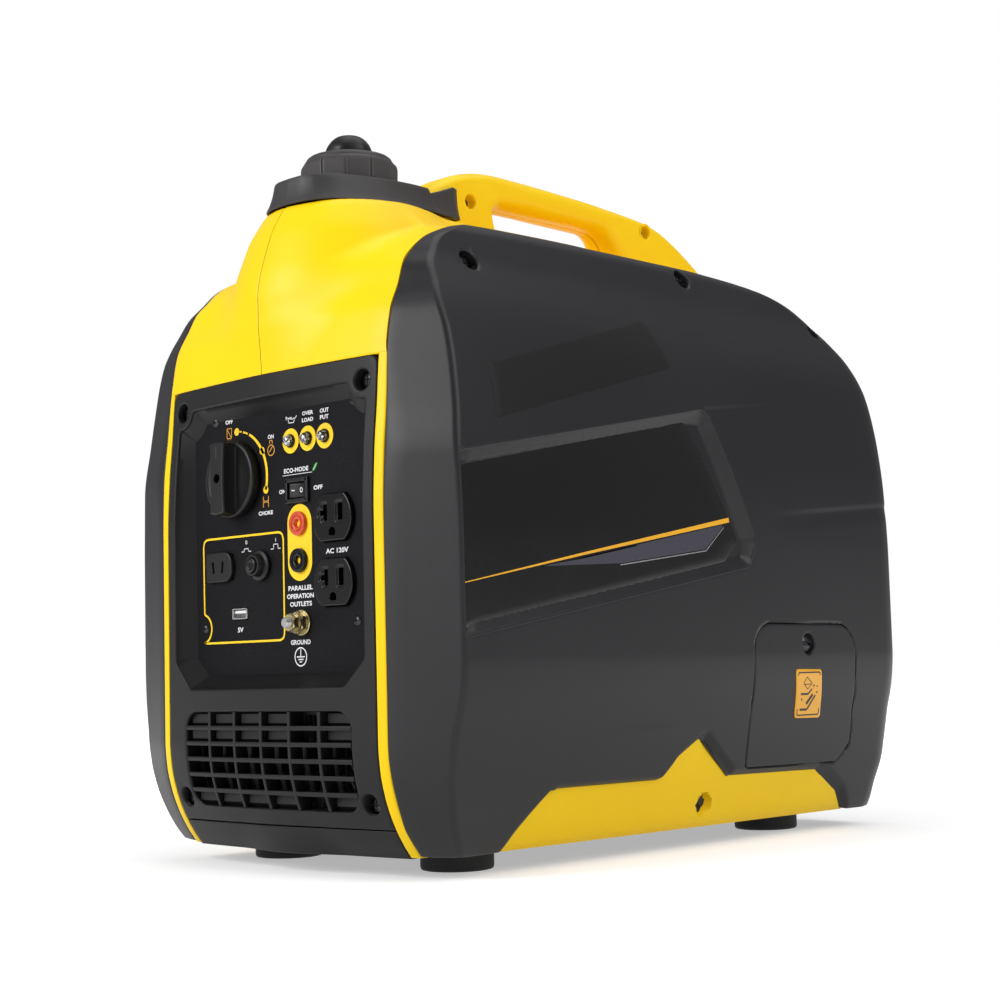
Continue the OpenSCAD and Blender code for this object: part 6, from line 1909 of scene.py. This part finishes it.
# piece: the body it rides, its material slot and the nodes it stands for
standsFor = {
    "sideCoverRight": ("case", "charcoal_cover", ["side_panel_right"]),
    "sideCoverLeft": ("case", "charcoal_cover", ["side_panel_left"]),
    "yellowShellRight": ("case", "yellow_shell", ["shell_right"]),
    "yellowShellLeft": ("case", "yellow_shell", ["shell_left"]),
    "frontBezel": ("case", "charcoal_cover", ["front_bezel"]),
    "grilleVanes": ("case", "charcoal_cover", []),
    "frontSkirt": ("case", "charcoal_cover", ["front_skirt"]),
    "fuelKnob": ("engine_knob", "panel_black", ["engine_knob"]),
    "fuelKnobGrooveHighlight": ("engine_knob", "panel_black", []),
    "lampRings": ("case", "panel_black", []),
    "lampBezels": ("case", "panel_black", ["indicator_lamps"]),
    "lampLenses": ("case", "lamp_lens", ["indicator_lamps"]),
    "rockerFrame": ("case", "panel_black", ["rocker_frame"]),
    "ecoRocker": ("eco_rocker", "panel_black", ["eco_rocker"]),
    "rockerMarks": ("eco_rocker", "panel_black", []),
    "redJack": ("case", "red_jack", ["parallel_jack_red"]),
    "blackJack": ("case", "panel_black", ["parallel_jack_black"]),
    "outletUpper": ("case", "panel_black", ["ac_outlet_upper"]),
    "outletUpperContacts": ("case", "plated_steel", []),
    "outletLower": ("case", "panel_black", ["ac_outlet_lower"]),
    "outletLowerContacts": ("case", "plated_steel", []),
    "dcSocket": ("case", "panel_black", ["dc_socket"]),
    "breakerRing": ("case", "panel_black", ["dc_breaker"]),
    "breakerButton": ("breaker_button", "panel_black", ["breaker_button"]),
    "usbShell": ("case", "plated_steel", ["usb_port"]),
    "usbTongue": ("case", "plated_steel", []),
    "groundStud": ("case", "plated_steel", ["ground_stud"]),
    "groundNuts": ("case", "ground_brass", ["ground_nuts"]),
    "panelScrewHeads": ("case", "screw_steel", ["panel_screws"]),
    "bezelScrewHeads": ("case", "screw_steel", ["bezel_screws"]),
    "panelWords": ("case", "panel_black", []),
    "panelYellow": ("case", "yellow_shell", []),
    "panelSymbols": ("case", "yellow_shell", []),
    "panelLeaf": ("case", "panel_black", []),
    "labelPlateRight": ("case", "label_gloss", ["label_plate_right"]),
    "labelStripeRight": ("case", "yellow_shell", []),
    "labelWedgeRight": ("case", "label_gloss", []),
    "labelLineRight": ("case", "label_gloss", []),
    "labelPlateLeft": ("case", "label_gloss", ["label_plate_left"]),
    "labelStripeLeft": ("case", "yellow_shell", []),
    "labelWedgeLeft": ("case", "label_gloss", []),
    "labelLineLeft": ("case", "label_gloss", []),
    "sidePlate": ("case", "label_gloss", []),
    "maintenanceHatch": ("maintenance_cover", "charcoal_cover", ["maintenance_cover"]),
    "picturePlate": ("maintenance_cover", "yellow_shell", ["service_plate"]),
    "pictureLines": ("maintenance_cover", "yellow_shell", []),
    "hatchScrew": ("cover_screw", "screw_steel", ["cover_screw"]),
    "fillerCollar": ("case", "charcoal_cover", ["filler_tray"]),
    "fuelCap": ("fuel_cap", "charcoal_cover", ["fuel_cap"]),
    "ventKnob": ("cap_vent_knob", "panel_black", ["cap_vent_knob"]),
    "rubberFeet": ("case", "foot_rubber", ["feet"]),
    "coverScrewHeads": ("case", "screw_steel", ["side_screws", "handle_screws"]),
    "starterGrip": ("recoil_grip", "panel_black", ["recoil_grip"]),
}

# finishes of the frame's own nodes that stay as they are
carriedOver = {
    "base_pan": "panPlastic", "foot_bolts": "platedSteel", "control_plate": "speckledPanel",
    "intake_baffle": "darkInside", "rear_cover": "charcoalBezel", "exhaust_outlet": "exhaustSteel",
    "fuel_tank": "panPlastic", "cap_insert": "darkTray", "inverter_module": "castAlloy",
    "engine_mounts": "footRubber", "crankcase": "castAlloy", "cylinder_barrel": "castAlloy",
    "cylinder_head": "castAlloy", "piston": "castAlloy", "crankshaft": "platedSteel",
    "flywheel_rotor": "castAlloy", "stator": "windingCopper", "recoil_housing": "panPlastic",
    "recoil_pulley": "panPlastic", "recoil_rope": "ropeCord", "carburettor": "castAlloy",
    "air_cleaner": "panPlastic", "muffler": "exhaustSteel", "spark_plug": "plugCeramic", "oil_cap": "redJack",
}
for name, (body, slot, replaced) in standsFor.items():
    piece = bpy.data.objects[name]
    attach(piece, body)
    if replaced:
        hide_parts(*replaced)
for name, finish in carriedOver.items():
    node = nodes[name]
    for held in node.material_slots:
        held.material = finishes[finish]
